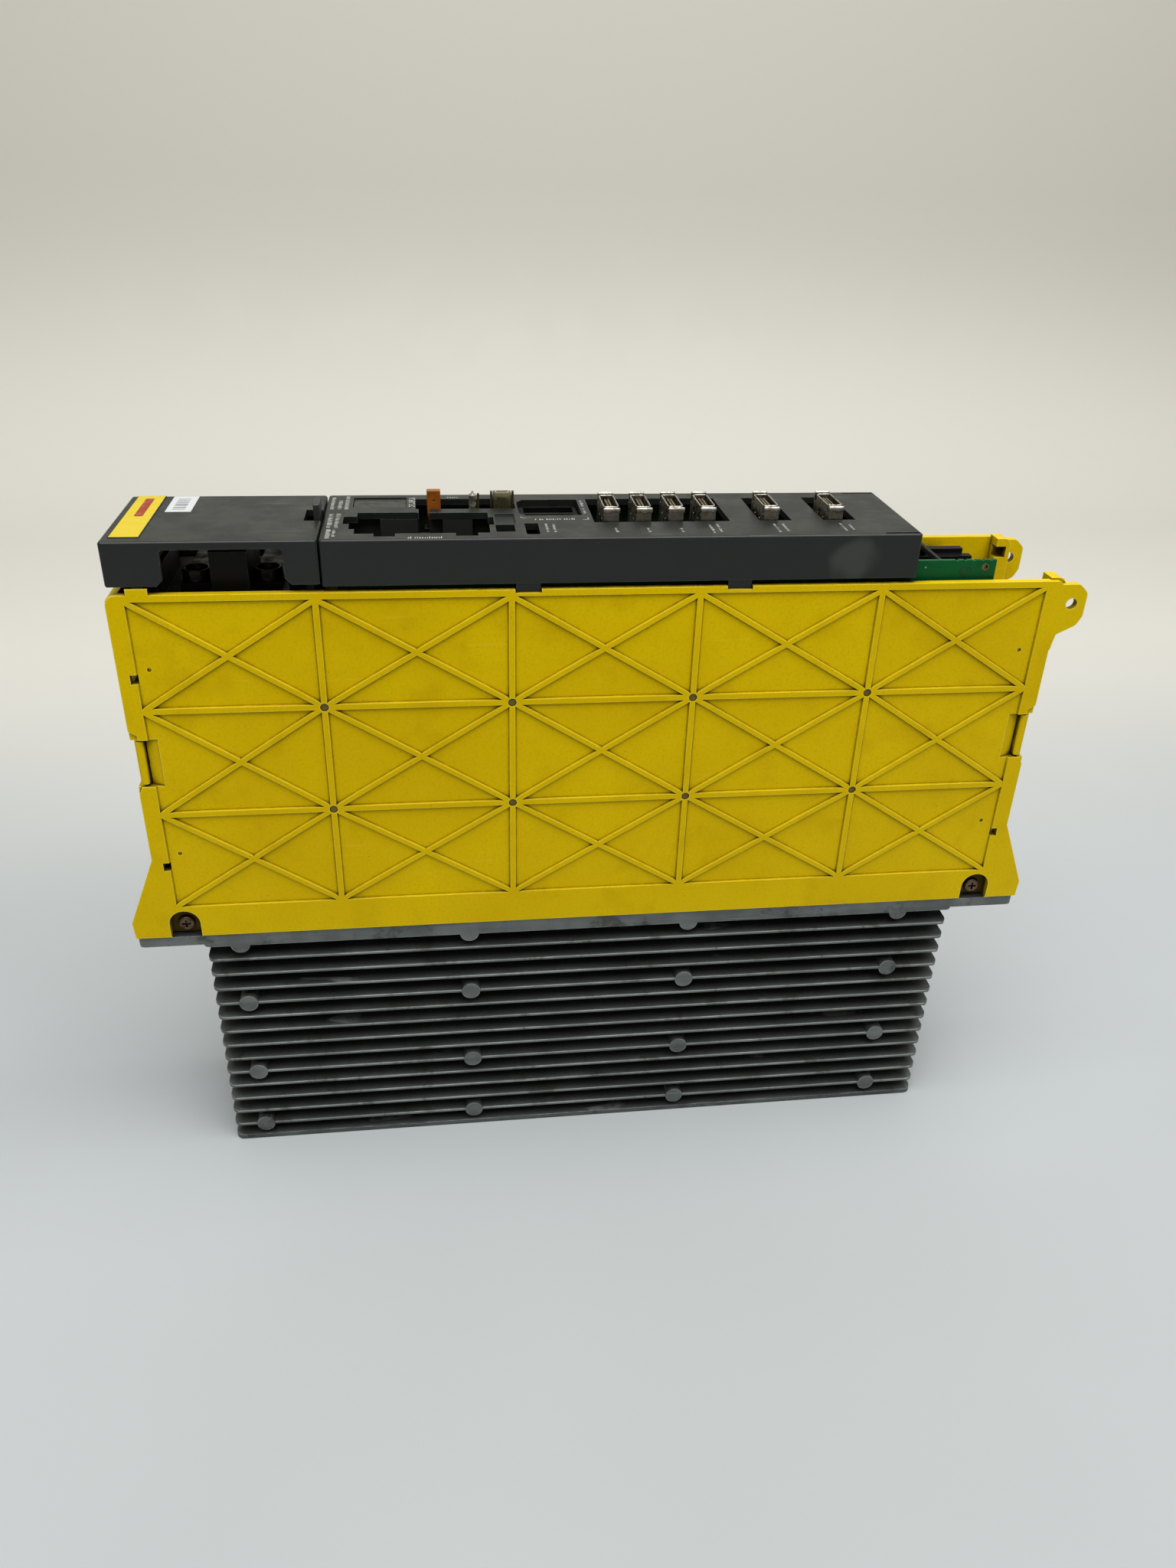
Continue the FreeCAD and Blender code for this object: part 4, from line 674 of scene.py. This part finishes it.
def connector_rim(number, low, high):
    """Bright worn edges of one connector: its rim, its near lip and its far hook."""
    rng = random.Random(SEED + number)
    x = (low.x + 1.3, high.x)
    y = (low.y + 0.6, high.y - 0.6)
    rim_y = (y[0] + HOOK_GAP, y[1] - HOOK_GAP)

    def build(shape):
        worn_edge(shape, rounded_outline(x, rim_y, 1.2, 4), CONNECTOR_RIM,
                  lambda px, py: 0.25 if py < rim_y[0] + 0.3 else 0.0, 0.05, rng)
        near = rounded_outline(x, (y[0], y[0] + 0.9), 0.3, 2)
        worn_edge(shape, near, CONNECTOR_RIM - 0.2,
                  lambda px, py: 1.0 if py < y[0] + 0.35 else 0.3, 0.16, rng)
        far = rounded_outline(x, (y[1] - 0.9, y[1]), 0.3, 2)
        worn_edge(shape, far, high.z, lambda px, py: 0.3, 0.1, rng)

    made = piece("signal_connector_%d_rim" % number, build, "chassis", RIM_METAL)
    for face in made.data.polygons:
        face.use_smooth = True


def connector_contacts(number, low, high):
    """Two rows of contacts over the edges of one connector's centre tongue."""
    middle = (low.x + 0.9 + high.x + 0.2) / 2
    first, last = low.y + 0.2 + HOOK_GAP + 2.4, high.y - 0.2 - HOOK_GAP - 2.4
    count = 10

    def build(shape):
        for k in range(count):
            y = first + (last - first) * k / (count - 1)
            for side in (-1, 1):
                x = sorted((middle + side * 0.92, middle + side * 0.3))
                add_bar(shape, x, (y - 0.32, y + 0.32), high.z - 4.4, high.z + 0.06, 0.1)

    piece("signal_connector_%d_contacts" % number, build, "chassis", GOLD)


for number in range(1, 7):
    shell_low, shell_high = [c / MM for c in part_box("signal_connector_%d_shell" % number)]
    insert_low, insert_high = [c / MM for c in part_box("signal_connector_%d_insert" % number)]
    connector_rim(number, shell_low, shell_high)
    connector_contacts(number, insert_low, insert_high)


# ---------------------------------------------------------------- prints and labels
# Printed words, as rows of plain ticks: (x, y) of the row's start, its length, the axis it
# runs along and the height of the ticks.
PRINT_ROWS = [
    (-101.6, 9.0, 17.0, "y", 1.8), (-98.8, 9.0, 12.0, "y", 1.7), (-96.3, 9.0, 18.0, "y", 1.7),
    (-101.4, -14.5, 17.5, "y", 1.9), (-98.7, -14.5, 18.5, "y", 1.8),
    (-101.2, -27.0, 11.0, "y", 1.9), (-98.9, -25.0, 8.0, "y", 1.2),
    (-72.0, -28.2, 12.4, "x", 2.3), (-57.2, 23.6, 5.0, "x", 1.6),
    (-25.0, -7.0, 15.4, "x", 1.8), (-21.9, -22.0, 10.6, "y", 1.2), (-19.2, -22.0, 10.6, "y", 1.2),
    (-5.6, 1.0, 7.5, "y", 1.3), (-5.6, 10.5, 8.5, "y", 1.3),
    (3.5, -23.0, 5.0, "y", 1.3), (15.5, -23.4, 5.0, "y", 1.2), (27.9, -23.6, 5.0, "y", 1.2),
    (39.5, -25.0, 10.4, "y", 1.2), (42.4, -24.0, 9.4, "y", 1.2),
    (64.4, -25.0, 11.0, "y", 1.3), (67.8, -23.6, 9.6, "y", 1.2),
    (90.3, -23.8, 9.6, "y", 1.2), (93.4, -22.6, 7.0, "y", 1.2),
]
PRINT_LINES = [((-30.2, -26.4), (-4.2, -3.8)), ((-30.2, -29.8), (-4.2, -2.6)),
               ((-6.9, -4.6), (-7.2, -6.8)), ((-5.0, -4.6), (-7.2, -4.4))]


def ticks(shape, x, y, length, along, height, rng):
    """A row of short ticks that stands for a printed word, with no letters in it."""
    done = 0.0
    while done < length - 0.5:
        width = rng.uniform(0.25, 0.6)
        tall = height * rng.uniform(0.55, 1.0)
        start = (x if along == "x" else y) + done
        run = (start, start + width)
        side = (y, y + tall) if along == "x" else (x, x + tall)
        bar = (run, side) if along == "x" else (side, run)
        add_bar(shape, bar[0], bar[1], COVER_TOP - INK_FOOT, COVER_TOP + INK, 0.12)
        done += width + (rng.uniform(0.3, 0.6) if rng.random() < 0.85 else 1.2)


def cover_prints(shape):
    rng = random.Random(SEED + 7)
    for x, y, length, along, height in PRINT_ROWS:
        ticks(shape, x, y, length, along, height, rng)
    for x, y in PRINT_LINES:
        add_bar(shape, x, y, COVER_TOP - INK_FOOT, COVER_TOP + INK, 0.1)


piece("cover_prints", cover_prints, "chassis", PALE_INK)


def print_patch(shape):
    """The small speckled patch beside the status window."""
    rng = random.Random(SEED)
    for row in range(9):
        for column in range(3):
            if rng.random() < 0.8:
                x = -72.1 + column * 0.85
                y = 11.8 + row * 1.4
                length = rng.uniform(0.6, 1.2)
                add_bar(shape, (x, x + 0.62), (y, y + length), COVER_TOP - INK_FOOT,
                        COVER_TOP + 0.04, 0.1)


piece("window_print_patch", print_patch, "chassis", PALE_INK)


def label_frame(shape):
    """A thin dark line round the name label."""
    low, high = LABEL_LOW, LABEL_HIGH
    outer = rounded_outline((low.x - 0.35, high.x + 0.35), (low.y - 0.35, high.y + 0.35), 0.4)

    def section(k):
        return [(-0.4, low.z - 0.02), (-0.4, high.z - 0.05), (0.0, high.z - 0.08),
                (0.0, low.z - 0.02)]

    add_sweep(shape, outer, section)


def label_bar(shape):
    """A plain red bar where the label's name would be."""
    low, high = LABEL_LOW, LABEL_HIGH
    x = (low.x + 3.4, high.x - 3.4)
    add_bar(shape, x, (high.y - 27.0, high.y - 3.5), high.z - 0.05, high.z + 0.04, 0.8)


def sticker_marks(shape):
    """Plain grey bars in place of the sticker's print."""
    low, high = STICKER_LOW, STICKER_HIGH
    rng = random.Random(SEED + 3)
    y = low.y + 3.0
    while y < high.y - 3.0:
        width = rng.uniform(0.5, 1.3)
        add_bar(shape, (low.x + 2.2, high.x - 2.6), (y, y + width), high.z - 0.03,
                high.z + 0.03, 0.1)
        y += width + rng.uniform(0.7, 1.8)


piece("name_label_frame", label_frame, "terminal_cover", BLACK_PLASTIC)
piece("name_label_bar", label_bar, "terminal_cover", LABEL_RED)
piece("rating_sticker_marks", sticker_marks, "terminal_cover", STICKER_INK)


# ---------------------------------------------------------------- grime in the dimples
def dimple_grime(shape, side):
    """Dirt lying in the round dimples where the ribs cross."""
    radius, count = 1.6, 20
    surface = side * (SHELL_FACE - DIMPLE_DEPTH + 0.05)
    for cx in DIMPLE_X:
        for cz in DIMPLE_Z:
            ring = [shape.verts.new((cx + radius * math.cos(2 * math.pi * k / count), surface,
                                     cz + radius * math.sin(2 * math.pi * k / count)))
                    for k in range(count)]
            middle = shape.verts.new((cx, surface - side * 0.03, cz))
            for k in range(count):
                shape.faces.new((ring[k], ring[(k + 1) % count], middle))


for label, side in (("near", -1), ("far", 1)):
    piece("side_shell_%s_grime" % label, lambda shape, way=side: dimple_grime(shape, way),
          "chassis", GRIME)


# ---------------------------------------------------------------- display, fuse, board
def digit_segments(shape):
    """Unlit bars of two digits on the display face."""
    z = DISPLAY_FACE - 0.5
    for x in DIGIT_X:
        for y in (14.4, 18.3, 22.2):
            add_bar(shape, (x + 0.9, x + 3.6), (y - 0.3, y + 0.3), z, z + 0.12, 0.2)
        for side in (0.5, 4.0):
            for y in (14.9, 18.8):
                add_bar(shape, (x + side - 0.3, x + side + 0.3), (y, y + 2.9), z, z + 0.12,
                        0.2)


piece("display_segments", digit_segments, "chassis", PALE_CORE)


def fuse_core(shape):
    """The dark former inside the clear fuse."""
    low, high = FUSE_LOW, FUSE_HIGH
    x, y = (low.x + 1.6, high.x - 1.6), (low.y + 1.3, high.y - 1.3)
    add_bar(shape, x, y, low.z + 1.0, high.z - 2.0, 0.3)


def fuse_rails(shape):
    """Moulded ridge round the top of the fuse."""
    low, high = FUSE_LOW, FUSE_HIGH
    x, y = (low.x + 1.2, high.x - 1.2), (low.y + 0.8, high.y - 0.8)
    z = (high.z - 0.1, high.z + 0.12)
    for side in y:
        add_bar(shape, x, (side - 0.2, side + 0.2), z[0], z[1], 0.1)
    for side in x:
        add_bar(shape, (side - 0.2, side + 0.2), y, z[0], z[1], 0.1)


piece("control_fuse_former", fuse_core, "chassis", DARK_CORE)
piece("control_fuse_ridge", fuse_rails, "chassis", AMBER_EDGE)


def flat_ring(shape, centre, inner_r, outer_r, y, lift):
    """A thin ring lying on a face that looks along Y; lift is which way it stands out."""
    count = 28
    rings = []
    for radius, height in ((inner_r, lift), (outer_r, lift), (outer_r + 0.04, -lift)):
        rings.append([shape.verts.new((centre[0] + radius * math.cos(2 * math.pi * k / count),
                                       y + height,
                                       centre[1] + radius * math.sin(2 * math.pi * k / count)))
                      for k in range(count)])
    for a, b in ((rings[0], rings[1]), (rings[1], rings[2])):
        for k in range(count):
            n = (k + 1) % count
            shape.faces.new((a[k], a[n], b[n], b[k]))


def plated_rings(shape):
    """Copper land round the plated hole in the board's visible corner, on both faces."""
    flat_ring(shape, PLATED_HOLE, 1.0, 1.45, BOARD_LOW.y, -0.04)
    flat_ring(shape, PLATED_HOLE, 1.0, 1.45, BOARD_HIGH.y, 0.04)


def board_stamp(shape):
    """A plain round stamp on the board's near face, with nothing written in it."""
    flat_ring(shape, STAMP_PLACE, 2.0, 2.3, BOARD_LOW.y, -0.03)
    flat_ring(shape, STAMP_PLACE, 0.9, 1.1, BOARD_LOW.y, -0.03)


piece("board_plated_ring", plated_rings, "chassis", OLD_COPPER)
piece("board_stamp_ring", board_stamp, "chassis", STAMP)


def capacitor_stripe(number):
    """The pale polarity stripe up one side of a capacitor sleeve."""
    low, high = [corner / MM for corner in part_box("link_capacitor_%d" % number)]
    centre = ((low.x + high.x) / 2, (low.y + high.y) / 2)
    radius = (high.x - low.x) / 2 + 0.06
    steps = 8

    def build(shape):
        rows = []
        for z in (low.z + 9.5, high.z - 3.0):
            row = []
            for k in range(steps + 1):
                angle = math.radians(-112 + 24 * k / steps)
                row.append(shape.verts.new((centre[0] + radius * math.cos(angle),
                                            centre[1] + radius * math.sin(angle), z)))
            rows.append(row)
        for k in range(steps):
            shape.faces.new((rows[0][k], rows[0][k + 1], rows[1][k + 1], rows[1][k]))

    piece("link_capacitor_%d_stripe" % number, build, "chassis", SLEEVE_STRIPE)


for number in (1, 2):
    capacitor_stripe(number)


# ---------------------------------------------------------------- backdrop, lights, camera
def backdrop():
    """One pale sheet: a floor that curves up into a wall well behind the drive, metres."""
    wall_y, wall_top, bend = 1.25, 3.2, 0.35
    profile = [(-6.0, 0.0), (wall_y - bend, 0.0)]
    for step in range(1, 13):
        angle = math.pi / 2 * step / 12
        profile.append((wall_y - bend + bend * math.sin(angle), bend - bend * math.cos(angle)))
    profile.append((wall_y, wall_top))
    shape = bmesh.new()
    rows = [[shape.verts.new((x, y, z)) for x in (-6.0, 6.0)] for y, z in profile]
    for low, high in zip(rows, rows[1:]):
        face = shape.faces.new((low[0], low[1], high[1], high[0]))
        face.smooth = True
    data = bpy.data.meshes.new("backdrop")
    shape.to_mesh(data)
    shape.free()
    data.materials.append(backdrop_finish())
    made = bpy.data.objects.new("backdrop", data)
    bpy.context.scene.collection.objects.link(made)


def area_light(name, place, towards, size, power, colour=(1.0, 1.0, 1.0)):
    data = bpy.data.lights.new(name, "AREA")
    data.shape = "RECTANGLE"
    data.size, data.size_y = size
    data.energy = power
    data.color = colour
    made = bpy.data.objects.new(name, data)
    made.location = place
    made.rotation_mode = "QUATERNION"
    made.rotation_quaternion = (Vector(towards) - Vector(place)).to_track_quat("-Z", "Y")
    bpy.context.scene.collection.objects.link(made)


def studio():
    """Soft light from above, a fainter one on the backdrop and an even pale surround."""
    world = bpy.data.worlds.new("studio")
    world.use_nodes = True
    back = world.node_tree.nodes["Background"]
    back.inputs["Color"].default_value = screen(226, 224, 218)
    back.inputs["Strength"].default_value = 0.42
    bpy.context.scene.world = world
    area_light("ceiling", (0.1, -0.55, 1.7), (0.0, 0.0, 0.1), (2.2, 1.2), 38.0)
    area_light("wall_wash", (0.1, 0.1, 1.9), (0.0, 1.25, 0.7), (2.4, 0.6), 14.0)


def camera():
    """Stands where the view was solved for: raised, in front and a little to the left."""
    data = bpy.data.cameras.new("view")
    data.sensor_width = CAMERA_SENSOR
    data.lens = CAMERA_LENS
    made = bpy.data.objects.new("view", data)
    forward = Vector(CAMERA_FORWARD)
    up = Vector(CAMERA_UP)
    right = forward.cross(up).normalized()
    up = right.cross(forward).normalized()
    turn = Matrix((right, up, -forward.normalized())).transposed()
    made.matrix_world = Matrix.Translation(CAMERA_PLACE) @ turn.to_4x4()
    data.clip_start = 0.01
    data.clip_end = 50.0
    bpy.context.scene.collection.objects.link(made)
    bpy.context.scene.camera = made


backdrop()
studio()
camera()
bpy.context.scene.view_settings.view_transform = "Standard"
